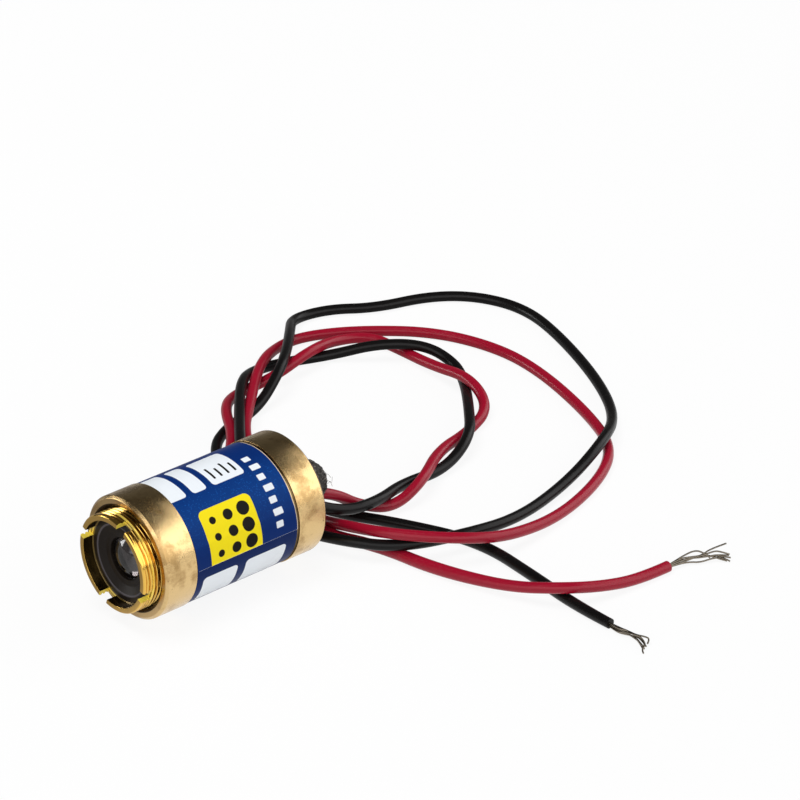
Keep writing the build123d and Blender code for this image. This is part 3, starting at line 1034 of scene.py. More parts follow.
def dress(piece: bpy.types.Object, material: bpy.types.Material) -> bpy.types.Object:
    """Give a piece one material all over."""
    piece.data.materials.clear()
    piece.data.materials.append(material)
    return piece


def seat(
    piece: bpy.types.Object, material: bpy.types.Material, slot: str, body: Body, *nodes: str
) -> bpy.types.Object:
    """Dress a piece, let it ride on a body and let it stand for its CAD nodes.

    Args:
        piece: The finished piece.
        material: Its material.
        slot: The record's material slot; not used.
        body: The body it rides on.
        nodes: The CAD nodes it replaces.

    Returns:
        The same piece.
    """
    dress(piece, material)
    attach(piece, body.value)
    if nodes:
        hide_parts(*nodes)
    log.info("%s rides on %s and stands for %s", piece.name, body.value, ", ".join(nodes) or "itself")
    return piece


@dataclass
class Barrel:
    """The turned brass barrel: two collars, a recess for the label, a web and two bores."""

    radius: float = 7.5
    length: float = 23.5
    chamfer: float = 0.35
    front_collar: float = 4.35
    rear_collar: float = 4.15
    recess_radius: float = 7.3
    focus_bore: float = 6.03
    mouth: float = 6.5
    web_front: float = 10.4
    web_back: float = 11.2
    web_hole: float = 4.6
    rear_bore: float = 5.9
    edge: float = 0.06

    def build(self, finishes: Finishes) -> bpy.types.Object:
        """Turn the barrel with small rounds on its edges.

        Args:
            finishes: The module's materials.

        Returns:
            The barrel.
        """
        recess_back = self.length - self.rear_collar
        corners = (
            (self.mouth, 0), (self.radius - self.chamfer, 0), (self.radius, self.chamfer),
            (self.radius, self.front_collar), (self.recess_radius, self.front_collar),
            (self.recess_radius, recess_back), (self.radius, recess_back),
            (self.radius, self.length - self.chamfer), (self.radius - self.chamfer, self.length),
            (self.rear_bore, self.length), (self.rear_bore, self.web_back), (self.web_hole, self.web_back),
            (self.web_hole, self.web_front), (self.focus_bore, self.web_front),
            (self.focus_bore, self.mouth - self.focus_bore),
        )
        profile = fillet(corners, [self.edge] * len(corners))
        piece = turn("brass_barrel", profile, 256)
        return seat(piece, finishes["barrel"], "barrel_brass", Body.BARREL, "barrel")


@dataclass
class Label:
    """The printed film, wrapped once round its recess with its end lapped over its start."""

    inner_radius: float = 7.3
    thickness: float = 0.1
    front: float = 4.4
    back: float = 19.0
    seam: float = -1.5
    lap: float = 21.0
    step: float = 5.0
    edge_wave: float = 0.03
    ripple: float = 0.012
    runs_around: int = 300
    runs_across: int = 40

    def _lift(self, turned: float) -> float:
        """How far the film stands off its first turn, at an angle past the seam in degrees."""
        if turned <= self.lap:
            return self.thickness
        if turned >= self.lap + self.step:
            return 0.0
        share = (turned - self.lap) / self.step
        return self.thickness * (1 - share * share * (3 - 2 * share))

    def build(self, finishes: Finishes) -> bpy.types.Object:
        """Roll the film up from its free edge.

        Args:
            finishes: The module's materials.

        Returns:
            The label.
        """
        around, across = self.runs_around, self.runs_across
        points: list[Point] = []
        for skin in (1, 0):
            for i in range(around + 1):
                turned = (360 + self.lap) * i / around
                angle = math.radians(self.seam + turned)
                lift = self._lift(turned)
                for j in range(across + 1):
                    along = self.front + (self.back - self.front) * j / across
                    if j in (0, across):
                        along += self.edge_wave * noise.noise(Vector((angle * 2.0, j, 0.0)))
                    ripple = self.ripple * noise.noise(Vector((angle * 5.0, along * 0.6, 3.0)))
                    r = self.inner_radius + lift + skin * self.thickness + ripple * skin
                    points.append(FRAME.place(r * math.cos(angle), along, r * math.sin(angle)))
        row, layer = across + 1, (around + 1) * (across + 1)
        faces: list[tuple[int, ...]] = []
        for i in range(around):
            for j in range(across):
                a = i * row + j
                faces.append((a, a + row, a + row + 1, a + 1))
                faces.append((layer + a, layer + a + 1, layer + a + row + 1, layer + a + row))
        for i in range(around):
            for j in (0, across):
                a = i * row + j
                faces.append((a, a + row, layer + a + row, layer + a))
        for j in range(across):
            for i in (0, around):
                a = i * row + j
                faces.append((a, a + 1, layer + a + 1, layer + a))
        film = shell("film_label", points, faces)
        return seat(film, finishes["film"], "label_film", Body.BARREL, "label")


@dataclass
class LensCell:
    """The brass lens cell: a fine thread outside, stepped bores inside and four key slots in its rim."""

    radius: float = 5.97
    front: float = -2.1
    back: float = 6.9
    rim_bore: float = 5.25
    step: float = -0.74
    seat_bore: float = 5.1
    web_front: float = 2.4
    web_back: float = 3.2
    web_hole: float = 3.6
    skirt_bore: float = 4.9
    chamfer: float = 0.15
    pitch: float = 0.5
    thread_depth: float = 0.21
    thread_start: float = -1.78
    thread_end: float = 1.6
    slot_width: float = 1.4
    slot_depth: float = 1.4
    first_slot: float = 70.0
    slots: int = 4
    root_share: float = 0.12
    flank_share: float = 0.5
    run_out: float = 0.12
    rows_per_turn: int = 14
    edge: float = 0.04
    overcut: float = 0.6

    def _threaded(self, radius: float, along: float, angle: float) -> tuple[float, float]:
        """Cut the thread into a point of the outside.

        Args:
            radius: The point's radius before the cut.
            along: Its distance behind the barrel's front face.
            angle: Its angle round the axis.

        Returns:
            Its radius and distance after the cut.
        """
        if radius < self.radius - 0.001 or not self.thread_start < along < self.thread_end:
            return radius, along
        phase = (along / self.pitch + angle / (2 * math.pi)) % 1.0
        height = min(1.0, max(0.0, (abs(phase - 0.5) * 2 - self.root_share) / self.flank_share))
        ends = min(1.0, (along - self.thread_start) / self.run_out, (self.thread_end - along) / self.run_out)
        return radius - self.thread_depth * (1 - height) * ends, along

    def build(self, finishes: Finishes) -> bpy.types.Object:
        """Turn the cell, cut its thread and mill its slots.

        Args:
            finishes: The module's materials.

        Returns:
            The lens cell.
        """
        inside = (
            (self.radius, self.back), (self.skirt_bore, self.back), (self.skirt_bore, self.web_back),
            (self.web_hole, self.web_back), (self.web_hole, self.web_front), (self.seat_bore, self.web_front),
            (self.seat_bore, self.step), (self.rim_bore, self.step), (self.rim_bore, self.front),
            (self.radius - self.chamfer, self.front), (self.radius, self.front + self.chamfer),
        )
        profile = fillet(inside, [self.edge] * len(inside))
        rows = int((self.thread_end - self.thread_start) / self.pitch * self.rows_per_turn)
        length = self.thread_end - self.thread_start
        thread = [(self.radius, self.thread_start + length * i / rows) for i in range(rows + 1)]
        piece = turn_shaped("threaded_lens_cell", [*profile, *thread], self._threaded, 224)
        for i in range(self.slots):
            angle = math.radians(self.first_slot + 360 / self.slots * i)
            half = self.slot_width / 2
            inner, outer = self.rim_bore - self.overcut, self.radius + self.overcut
            low = (inner * MM, (FRAME.front_face + self.front - 1) * MM, -half * MM)
            high = (outer * MM, (FRAME.front_face + self.front + self.slot_depth) * MM, half * MM)
            cutter = slab("slot_cutter", low, high)
            for vertex in cutter.data.vertices:
                x, y, z = vertex.co
                vertex.co = (
                    x * math.cos(angle) - z * math.sin(angle),
                    y,
                    x * math.sin(angle) + z * math.cos(angle) + FRAME.axis_height * MM,
                )
            carve(piece, cutter)
        return seat(piece, finishes["cell"], "cell_brass", Body.LENS_CELL, "lens_cell")


@dataclass
class LensStack:
    """The lens, the black mount it sits in and the black ring that holds it."""

    seat_radius: float = 5.08
    ring_front: float = -0.74
    ring_back: float = 0.30
    mouth: float = 4.33
    throat: float = 3.33
    cone_depth: float = 0.51
    ring_hole: float = 2.6
    lens_radius: float = 2.95
    lens_back: float = 1.5
    dome: float = 1.0
    dome_edge: float = 2.55
    pocket: float = 3.0
    mount_back: float = 2.4
    cushion_back: float = 1.7
    cushion_hole: float = 2.5

    def _retaining_ring(self, finishes: Finishes) -> None:
        """Turn the ring with a thin lip, which its material paints with a highlight, and a stepped cone."""
        cone_back = self.ring_front + self.cone_depth
        corners = (
            (self.mouth, self.ring_front), (self.mouth + 0.1, self.ring_front - 0.03),
            (self.seat_radius, self.ring_front), (self.seat_radius, self.ring_back),
            (self.ring_hole, self.ring_back), (self.ring_hole, cone_back), (self.throat, cone_back),
        )
        piece = turn("black_retaining_ring", fillet(corners, [0.03] * len(corners)), 192)
        seat(piece, finishes["insert"], "black_insert", Body.LENS_CELL, "lens_retaining_ring")

    def _mount(self, finishes: Finishes) -> None:
        """Turn the mount behind the ring."""
        corners = (
            (self.pocket, self.ring_back), (self.seat_radius, self.ring_back),
            (self.seat_radius, self.mount_back), (self.cushion_hole, self.mount_back),
            (self.cushion_hole, self.cushion_back), (self.pocket, self.cushion_back),
        )
        piece = turn("black_lens_mount", fillet(corners, [0.04] * len(corners)), 160)
        seat(piece, finishes["insert"], "black_insert", Body.LENS_CELL, "lens_mount")

    def _lens(self, finishes: Finishes) -> None:
        """Turn the lens with a smooth dome."""
        sphere = (self.dome_edge**2 + self.dome**2) / (2 * self.dome)
        apex, reach, steps = self.ring_back - self.dome, math.asin(self.dome_edge / sphere), 28
        dome = [
            (sphere * math.sin(reach * i / steps), apex + sphere * (1 - math.cos(reach * i / steps)))
            for i in range(steps + 1)
        ]
        profile = [*dome, (self.lens_radius, self.ring_back), (self.lens_radius, self.lens_back),
                   (0, self.lens_back)]
        piece = turn("collimating_lens", profile, 160)
        seat(piece, finishes["lens"], "lens_glass", Body.LENS_CELL, "lens")

    def build(self, finishes: Finishes) -> None:
        """Build the ring, the mount and the lens.

        Args:
            finishes: The module's materials.
        """
        self._retaining_ring(finishes)
        self._mount(finishes)
        self._lens(finishes)


@dataclass
class FocusSpring:
    """The open coil between the thrust washer and the barrel's web."""

    washer_back: float = 7.4
    web_front: float = 10.4
    mean_radius: float = 5.2
    wire_radius: float = 0.2
    seat_gap: float = 0.02
    turns: float = 2.5
    closed_turns: float = 0.2
    steps: int = 160
    wire_sides: int = 12

    def _along(self, turned: float) -> float:
        """Where the wire's middle lies along the axis after some turns: its two ends lie flat."""
        open_turns = self.turns - 2 * self.closed_turns
        share = min(1.0, max(0.0, (turned - self.closed_turns) / open_turns))
        rise = self.web_front - self.washer_back - 2 * (self.wire_radius + self.seat_gap)
        return self.web_front - self.wire_radius - self.seat_gap - rise * share

    def build(self, finishes: Finishes) -> None:
        """Wind the coil between the thrust washer and the barrel's web.

        Args:
            finishes: The module's materials.
        """
        points: list[Point] = []
        for i in range(self.steps + 1):
            turned = self.turns * i / self.steps
            angle = 2 * math.pi * turned
            for j in range(self.wire_sides):
                around = 2 * math.pi * j / self.wire_sides
                r = self.mean_radius + self.wire_radius * math.cos(around)
                along = self._along(turned) + self.wire_radius * math.sin(around)
                points.append(FRAME.place(r * math.cos(angle), along, r * math.sin(angle)))
        sides, last = self.wire_sides, self.steps * self.wire_sides
        faces: list[tuple[int, ...]] = [tuple(range(sides)), tuple(range(last, last + sides))]
        for i in range(self.steps):
            for j in range(sides):
                this, other = i * sides + j, i * sides + (j + 1) % sides
                faces.append((this, other, other + sides, this + sides))
        coil = dress(shell("focus_coil", points, faces), finishes["spring"])
        FRAME.place(0, self.washer_back, 0)
        FRAME.place(0, self.web_front, 0)
        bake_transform(coil)
        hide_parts("focus_spring")
        log.info("%s stretches from the thrust washer to the barrel's web", coil.name)


@dataclass
class RearSeal:
    """The resin that closes the barrel and the lump of adhesive that grips the leads."""

    resin_front: float = 21.9
    resin_back: float = 23.1
    bore: float = 5.88
    root: float = 3.6
    shoulder: float = 3.0
    nose: float = 2.45
    lump_back: float = 28.4
    shoulder_share: float = 0.4
    rings: int = 26
    sag: float = 0.25
    wall_climb: float = 0.22
    wall_reach: float = 0.25
    lump_climb: float = 0.3
    lump_reach: float = 0.35
    resin_waves: float = 0.12
    lump_waves: float = 0.34
    lump_shrink: float = 0.12
    fibre_radius: float = 0.022
    fibre_height: float = 0.35
    fibres: tuple[tuple[float, float, float, float], ...] = (
        (27.5, 28.0, 0.3, 0.4), (27.7, 18.0, 0.35, -0.5), (27.2, 40.0, 0.2, 0.5), (27.6, 8.0, 0.25, 0.5),
        (27.3, 33.0, 0.15, -0.4), (27.0, 22.0, 0.2, 0.4), (26.0, 92.0, -0.4, 0.5), (26.6, 74.0, -0.3, -0.5),
        (25.2, 60.0, 0.2, 0.6), (26.3, 84.0, -0.2, 0.4), (24.6, 96.0, -0.3, -0.4), (25.8, 48.0, 0.2, -0.5),
        (26.8, 150.0, 0.4, -0.6), (27.9, 210.0, 0.4, 0.5),
    )

    @staticmethod
    def _rough(radius: float, along: float, angle: float, size: float) -> float:
        """Uneven height of hand-poured adhesive, rougher underneath.

        Args:
            radius: The point's radius.
            along: Its distance along the axis.
            angle: Its angle round the axis.
            size: How large the unevenness is.

        Returns:
            The height in millimetres.
        """
        place = Vector((radius * math.cos(angle), along, radius * math.sin(angle)))
        under = 0.6 + 0.4 * min(1.0, max(0.0, 0.3 - math.sin(angle)))
        fine = noise.fractal(place * 1.7, 0.7, 2.1, 5)
        return size * (0.6 * noise.noise(place * 0.5) + under * fine)

    def build(self, finishes: Finishes) -> None:
        """Pour the resin and the lump, and scatter the fibres that stick to it.

        Args:
            finishes: The module's materials.
        """
        disc = [(0, self.resin_front), (self.bore, self.resin_front)]
        for i in range(self.rings + 1):
            r = self.bore * (1 - i / self.rings)
            at_wall = self.wall_climb * math.exp(-(self.bore - r) / self.wall_reach)
            climb = at_wall + self.lump_climb * math.exp(-max(0.0, r - self.root) / self.lump_reach)
            disc.append((r, self.resin_back - self.sag + climb))

        def ripple(radius: float, along: float, angle: float) -> tuple[float, float]:
            """Ripple the poured face only."""
            if along < self.resin_back - 0.6 or radius > self.bore - 0.01:
                return radius, along
            return radius, along + self._rough(radius, 0.0, angle, self.resin_waves)

        piece = turn_shaped("potting_resin_disc", disc, ripple, 128)
        seat(piece, finishes["resin"], "resin", Body.BARREL, "potting_resin")

        shoulder = self.resin_back + self.shoulder_share * (self.lump_back - self.resin_back)
        corners = (
            (0, self.resin_back - 0.4), (self.root, self.resin_back - 0.4), (self.root, self.resin_back),
            (self.shoulder, shoulder), (self.nose, self.lump_back - 0.7),
            (self.nose - 0.7, self.lump_back), (0, self.lump_back),
        )
        outline = fillet(corners, (0, 0, 0.6, 1.2, 0.8, 0.8, 0), 8)
        fine: list[tuple[float, float]] = []
        for (r0, a0), (r1, a1) in zip(outline, outline[1:]):
            parts = max(1, int(math.hypot(r1 - r0, a1 - a0) / 0.12))
            fine += [(r0 + (r1 - r0) * i / parts, a0 + (a1 - a0) * i / parts) for i in range(parts)]
        fine.append(outline[-1])

        def lumpy(radius: float, along: float, angle: float) -> tuple[float, float]:
            """Press the lump out of round."""
            if radius < 0.01:
                return radius, along
            return radius + self._rough(radius, along, angle, self.lump_waves) - self.lump_shrink, along

        lump = turn_shaped("adhesive_lump", fine, lumpy, 144)
        seat(lump, finishes["resin"], "resin", Body.BARREL, "strain_relief")
        tuft = round_curve("stray_fibres", self.fibre_radius, 1, 10)
        for along, angle, lean, curl in self.fibres:
            add_spline(tuft.data, self._fibre(along, math.radians(angle), lean, curl))
        seat(tuft, finishes["fibre"], "resin", Body.BARREL)

    def _fibre(self, along: float, angle: float, lean: float, curl: float) -> list[Point]:
        """Curl one fibre out of the lump.

        Args:
            along: Where it is rooted, behind the barrel's front face.
            angle: Where it is rooted, round the axis, in radians.
            lean: How far it leans backwards, in millimetres.
            curl: How far it curls sideways, in millimetres.

        Returns:
            Its control points in metres.
        """
        behind, whole = self.lump_back - along, self.lump_back - self.resin_back
        root = self.nose + (self.root - self.nose) * behind / whole
        steps = ((-0.5, 0.0, 0.0), (0.35, 0.3, 0.2), (0.8, 0.9, 0.9), (0.75, 1.4, 0.2), (1.15, 1.5, -0.6))
        points = []
        for out, back, aside in steps:
            r = root + out * self.fibre_height
            turned = angle + aside * curl / r
            points.append(FRAME.place(r * math.cos(turned), along + back * lean, r * math.sin(turned)))
        return points


@dataclass
class Lead:
    """One insulated stranded lead, from its tail on the board to its bared strands."""

    hand: Hand
    route: tuple[Point, ...]
    length: float
    strands: tuple[tuple[Point, ...], ...]
    swells: tuple[tuple[int, float], ...] = ()
    radius: float = 0.68
    strand_radius: float = 0.1
    tail_radius: float = 0.3
    tail: tuple[float, float, float] = (1.5, 20.3, 0.1)
    exit: Point = (0.0, 0.0, 0.0)

    def build(self, finishes: Finishes) -> None:
        """Lay the lead and fan out its strands.

        Args:
            finishes: The module's materials.
        """
        colour = self.hand.value
        cord = round_curve(f"{colour}_lead_cord", self.radius, 6, 14)
        line = add_spline(cord.data, [FRAME.floor(*place) for place in self.route])
        for place, swell in self.swells:
            line.points[place].radius = swell
        fan = round_curve(f"{colour}_strands", self.strand_radius, 3, 8)
        for strand in self.strands:
            add_spline(fan.data, [FRAME.floor(*place) for place in strand])
        side = 1 if self.hand is Hand.RED else -1
        x, along, lift = self.tail
        ends = [FRAME.place(side * x, along + step, lift) for step in (0.0, 0.8, 1.5)]
        for slot in add_spline(fan.data, ends).points:
            slot.radius = self.tail_radius / self.strand_radius
        seat(cord, finishes[colour], f"{colour}_insulation", Body.BARREL, f"{colour}_lead")
        seat(fan, finishes["tinned"], "tinned_copper", Body.BARREL, f"{colour}_conductor")


# The leads and their strands as they lie, in millimetres: x, distance behind the barrel's rear face, height
RED_ROUTE: tuple[Point, ...] = (
    (1.5, -1.7, 7.6), (1.0, 2.0, 6.9), (1.2, 6.4, 5.1), (1.0, 10.4, 1.9), (2.5, 14.5, 0.68),
    (2.2, 19.3, 2.5), (-2.6, 26.0, 2.0), (-5.4, 33.4, 0.68), (-7.8, 39.2, 1.1), (-13.0, 40.8, 2.7),
    (-20.8, 41.2, 1.2), (-27.9, 41.6, 0.68), (-32.6, 41.0, 0.8), (-33.9, 35.9, 1.4), (-31.7, 30.1, 2.8),
    (-31.6, 23.9, 1.1), (-32.0, 18.1, 0.68), (-28.2, 13.3, 2.1), (-21.6, 9.5, 2.3), (-16.0, 3.9, 2.3),
    (-9.6, 3.4, 0.72), (-1.8, 5.5, 0.8), (6.5, 5.6, 3.0), (12.1, 7.6, 3.8), (16.8, 12.6, 3.5),
    (18.1, 18.8, 2.0), (17.0, 28.0, 0.68), (13.6, 38.0, 0.68), (8.8, 44.4, 0.68), (0.6, 48.0, 0.68),
    (-10.7, 51.0, 0.68), (-19.3, 51.4, 0.68), (-28.1, 48.3, 0.68), (-34.6, 41.5, 0.7), (-38.1, 35.5, 0.68),
    (-38.2, 30.7, 0.95), (-33.6, 23.5, 2.7), (-27.4, 16.9, 2.1), (-21.4, 10.8, 2.1), (-12.7, 6.5, 2.4),
    (-5.6, 3.1, 2.2), (1.6, 4.2, 0.7), (8.2, 7.3, 0.72), (16.6, 8.7, 0.76), (25.5, 11.7, 1.3),
    (31.1, 14.6, 2.5), (32.8, 19.7, 1.5), (33.5, 25.0, 0.68), (33.6, 29.5, 0.68),
)
BLACK_ROUTE: tuple[Point, ...] = (
    (-1.5, -1.7, 7.6), (0.4, 1.4, 5.9), (2.7, 6.0, 3.4), (2.9, 11.4, 2.8), (-0.1, 18.0, 1.5),
    (-0.5, 25.3, 0.6), (-2.4, 31.2, 2.3), (-8.5, 36.4, 2.0), (-15.2, 41.8, 0.7), (-19.8, 44.4, 0.7),
    (-24.2, 43.2, 2.1), (-28.0, 38.6, 2.4), (-32.1, 34.0, 0.68), (-34.6, 28.0, 0.7), (-34.6, 23.2, 1.2),
    (-31.1, 18.4, 2.9), (-24.2, 12.5, 3.2), (-15.8, 5.9, 3.9), (-9.3, 1.9, 2.4), (-1.2, 1.6, 1.2),
    (6.5, 3.3, 2.2), (11.5, 7.4, 2.0), (14.7, 14.8, 2.3), (14.5, 23.7, 1.0), (11.7, 34.3, 0.8),
    (9.5, 42.2, 2.6), (4.1, 49.5, 1.0), (-4.6, 54.9, 0.68), (-16.1, 59.4, 0.68), (-25.0, 61.5, 0.68),
    (-31.8, 59.4, 0.68), (-36.2, 54.6, 0.68), (-38.4, 46.8, 0.68), (-42.1, 42.1, 0.68), (-43.1, 36.6, 0.7),
    (-38.2, 32.3, 2.35), (-33.0, 27.5, 3.4), (-28.9, 22.9, 3.6), (-27.3, 18.1, 0.68), (-25.9, 11.9, 0.7),
    (-23.2, 7.6, 0.68), (-17.8, 4.7, 0.68), (-11.3, 6.0, 0.68), (-1.6, 8.2, 0.68), (5.5, 12.5, 0.68),
    (15.1, 16.9, 0.68), (25.8, 16.2, 0.68), (32.9, 15.5, 0.68), (38.3, 15.7, 0.68),
)
RED_STRANDS: tuple[tuple[Point, ...], ...] = (
    ((33.5, 28.9, 0.7), (33.5, 30.4, 0.8), (33.7, 31.7, 1.2), (34.0, 33.4, 1.5), (34.7, 34.2, 1.2),
     (35.5, 34.5, 0.7)),
    ((33.6, 28.9, 0.7), (33.8, 31.3, 0.8), (34.2, 32.8, 0.8), (34.8, 34.0, 1.0), (35.0, 34.9, 1.5),
     (35.8, 36.8, 1.9)),
    ((33.6, 28.9, 0.8), (33.6, 31.4, 1.0), (34.3, 32.7, 1.0), (34.9, 33.9, 1.0), (35.3, 35.4, 1.2),
     (35.7, 36.1, 1.0), (36.3, 36.9, 0.6)),
    ((33.5, 28.9, 0.6), (33.6, 31.5, 0.6), (33.9, 32.8, 0.6), (34.7, 33.7, 0.7), (35.2, 35.2, 0.6),
     (36.0, 35.9, 0.6), (36.7, 36.7, 0.4)),
    ((33.6, 28.9, 0.6), (33.9, 31.5, 0.5), (34.2, 33.1, 0.7), (34.8, 34.4, 0.9), (35.8, 35.3, 0.5),
     (36.7, 36.1, 0.2)),
    ((33.5, 28.9, 0.5), (33.7, 31.0, 0.4), (34.1, 32.5, 0.3), (35.0, 33.4, 0.3), (35.4, 35.0, 0.4),
     (36.1, 36.0, 0.5), (37.0, 36.3, 0.2)),
    ((33.6, 28.9, 0.7), (33.6, 31.3, 0.9), (34.0, 32.4, 0.5), (34.3, 33.8, 0.8), (35.1, 34.4, 0.7),
     (35.6, 35.5, 0.8), (36.3, 36.8, 0.5)),
)
BLACK_STRANDS: tuple[tuple[Point, ...], ...] = (
    ((37.5, 15.7, 0.7), (39.7, 15.9, 0.7), (40.9, 16.0, 0.8), (42.1, 16.1, 0.8), (43.0, 16.6, 0.8),
     (43.5, 16.9, 0.6), (43.7, 16.3, 0.3)),
    ((37.5, 15.6, 0.6), (39.8, 15.7, 0.4), (40.9, 16.0, 0.4), (42.3, 16.1, 0.4), (43.7, 15.4, 0.4),
     (44.0, 15.7, 0.5), (44.1, 15.0, 0.3), (44.7, 14.7, 0.2)),
    ((37.5, 15.7, 0.8), (40.0, 15.2, 1.0), (40.6, 16.0, 0.8), (41.9, 16.1, 0.6), (42.9, 16.2, 0.5),
     (44.0, 15.8, 0.3)),
    ((37.5, 15.6, 0.5), (39.7, 15.4, 0.3), (40.4, 16.0, 0.4), (41.7, 16.1, 0.3), (43.1, 15.9, 0.3),
     (44.1, 15.4, 0.2)),
    ((37.5, 15.8, 0.6), (39.4, 15.6, 0.8), (40.6, 15.8, 0.6), (41.9, 15.9, 0.9), (42.9, 16.3, 0.7),
     (43.5, 16.1, 0.3)),
    ((37.5, 15.5, 0.6), (39.3, 15.6, 0.2), (40.2, 15.8, 0.2), (41.4, 16.3, 0.3), (42.7, 16.0, 0.2),
     (43.8, 15.4, 0.2)),
)


@dataclass
class InnerWorks:
    """The pieces inside the barrel, which keep the shapes they have in the CAD model."""

    materials: dict[str, tuple[str, ...]] = field(
        default_factory=lambda: {
            "steel": ("thrust_washer",),
            "holder": ("diode_holder", "diode_clamp_ring"),
            "gold": ("diode_header", "diode_pins", "chip_submount"),
            "cap": ("diode_cap",),
            "window": ("diode_window",),
            "die": ("laser_chip",),
            "cushion": ("lens_cushion_ring",),
            "board": ("driver_board",),
            "chip": ("driver_chip", "drive_transistor"),
            "ceramic": ("smoothing_capacitor",),
            "resistor": ("resistors",),
            "trimmer": ("power_trimmer",),
            "solder": ("solder_joints",),
        }
    )

    def build(self, nodes: dict[str, bpy.types.Object], finishes: Finishes) -> None:
        """Dress every inner piece.

        Args:
            nodes: The CAD nodes by name.
            finishes: The module's materials.
        """
        for key, names in self.materials.items():
            for name in names:
                dress(nodes[name], finishes[key])
                log.info("%s keeps its own shape in %s", name, key)


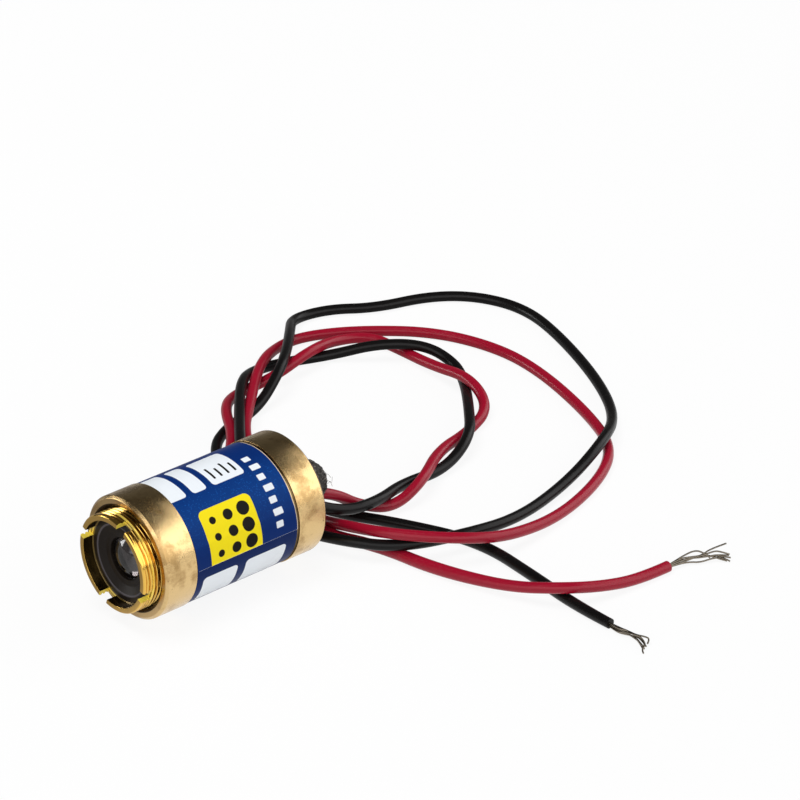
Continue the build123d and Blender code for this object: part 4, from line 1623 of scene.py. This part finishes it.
@dataclass
class Studio:
    """The pale floor, the soft light and the camera at the photograph's viewing angle."""

    camera_place: Point = (0.30656, -0.24044, 0.23451)
    aim: Point = (-0.0182, 0.0439, 0.0)
    focal_length: float = 176.3
    sensor: float = 36.0
    floor_size: float = 3.0
    floor_glow: float = 0.9
    floor_dark: float = 0.35
    floor_fade: tuple[float, float] = (-0.006, 0.006)
    ceiling: float = 0.06
    wall: float = 2.2
    side: float = 0.1
    matt_share: float = 0.4

    def _floor(self) -> None:
        """Lay a pale floor that looks white and still takes the shadow."""
        half = self.floor_size / 2
        mesh = bpy.data.meshes.new("floor")
        corners = [(-half, -half, 0), (half, -half, 0), (half, half, 0), (-half, half, 0)]
        mesh.from_pydata(corners, [], [(0, 1, 2, 3)])
        floor = bpy.data.objects.new("floor", mesh)
        bpy.context.scene.collection.objects.link(floor)
        material = bpy.data.materials.new("pale_floor")
        material.use_nodes = True
        graph = Graph(material.node_tree)
        shader = material.node_tree.nodes["Principled BSDF"]
        shader.inputs["Base Color"].default_value = (0.85, 0.85, 0.85, 1.0)
        shader.inputs["Roughness"].default_value = 0.9
        glow = graph.node("Emission")
        path = graph.node("LightPath")
        mirrored = graph.math("MAXIMUM", path.outputs["Is Glossy Ray"], path.outputs["Is Transmission Ray"])
        seen = graph.math("MAXIMUM", path.outputs["Is Camera Ray"], mirrored)
        fade = graph.ramp(graph.split(graph.place())[0], *self.floor_fade, self.floor_dark, 1.0)
        graph.feed(glow.inputs["Strength"], graph.math("MAXIMUM", path.outputs["Is Camera Ray"], fade))
        blend = graph.node("MixShader")
        graph.feed(blend.inputs[0], graph.math("MULTIPLY", seen, self.floor_glow))
        graph.feed(blend.inputs[1], shader.outputs[0])
        graph.feed(blend.inputs[2], glow.outputs[0])
        output = material.node_tree.nodes["Material Output"]
        graph.feed(output.inputs["Surface"], blend.outputs[0])
        floor.data.materials.append(material)

    def _world(self) -> None:
        """Stand a bright wall to the right and a dim one to the left under a dark ceiling."""
        world = bpy.data.worlds.new("studio")
        bpy.context.scene.world = world
        world.use_nodes = True
        graph = Graph(world.node_tree)
        shine = world.node_tree.nodes["Background"]
        right, _, height = graph.split(graph.place("Generated"))
        foot = graph.ramp(height, 0.03, 0.12)
        wall = graph.math("MULTIPLY", graph.math("MULTIPLY", foot, graph.ramp(height, 0.77, 0.72)),
                          graph.ramp(right, -0.3, -0.1))
        dim = graph.math("MULTIPLY", graph.math("MULTIPLY", foot, graph.ramp(height, 0.6, 0.4)),
                         graph.ramp(right, -0.3, -0.6))
        ceiling, lit, side = ((grey, grey, grey) for grey in (self.ceiling, self.wall, self.side))
        colour = graph.mix(dim, graph.mix(wall, ceiling, lit), side)
        path = graph.node("LightPath")
        graph.feed(shine.inputs["Color"], graph.mix(path.outputs["Is Camera Ray"], colour, (1.0, 1.0, 1.0)))
        soft = graph.math("MULTIPLY_ADD", path.outputs["Is Diffuse Ray"], self.matt_share - 1.0, 1.0)
        graph.feed(shine.inputs["Strength"], soft)

    @staticmethod
    def _lamp(name: str, place: Point, size: float, power: float, mirrored: bool) -> None:
        """Hang one soft lamp that looks at the module, either to light it or to be mirrored in it.

        Args:
            name: The lamp's name.
            place: Where it hangs, in metres.
            size: Its width in metres.
            power: Its power in watts.
            mirrored: Whether it is only seen in shiny pieces, or only lights them.
        """
        lamp = bpy.data.lights.new(name, "AREA")
        lamp.size, lamp.energy = size, power
        hung = bpy.data.objects.new(name, lamp)
        hung.location = place
        hung.rotation_euler = (-Vector(place)).to_track_quat("-Z", "Y").to_euler()
        hung.visible_glossy, hung.visible_diffuse = mirrored, not mirrored
        bpy.context.scene.collection.objects.link(hung)

    def build(self) -> None:
        """Set the floor, the light and the camera."""
        self._floor()
        self._world()
        self._lamp("top_softbox", (-0.1, -0.1, 0.7), 0.45, 3.8, False)
        self._lamp("front_glint", (-0.425, -0.27, 0.1), 0.16, 0.6, True)
        lens = bpy.data.cameras.new("camera")
        lens.lens, lens.sensor_width = self.focal_length, self.sensor
        lens.clip_start, lens.clip_end = 0.01, 20.0
        camera = bpy.data.objects.new("camera", lens)
        camera.location = self.camera_place
        view = Vector(self.aim) - Vector(self.camera_place)
        camera.rotation_euler = view.to_track_quat("-Z", "Y").to_euler()
        bpy.context.scene.collection.objects.link(camera)
        bpy.context.scene.camera = camera
        bpy.context.scene.view_settings.view_transform = "Standard"


def main() -> None:
    """Load the frame and build every sub-assembly."""
    logging.basicConfig(level=logging.INFO, format="%(message)s")
    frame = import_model()
    Studio().build()
    finishes = Finishes()
    scraped = ((41, 1.03), (42, 1.08), (43, 1.14), (44, 0.98))
    Lead(Hand.RED, RED_ROUTE, 0.341, RED_STRANDS, scraped, exit=(1.1, 4.9, 6.0)).build(finishes)
    Lead(Hand.BLACK, BLACK_ROUTE, 0.350, BLACK_STRANDS, ((48, 0.9),), exit=(2.2, 4.9, 4.0)).build(finishes)
    Barrel().build(finishes)
    Label().build(finishes)
    LensCell().build(finishes)
    LensStack().build(finishes)
    FocusSpring().build(finishes)
    RearSeal().build(finishes)
    InnerWorks().build(frame["nodes"], finishes)


if __name__ == "__main__":
    main()
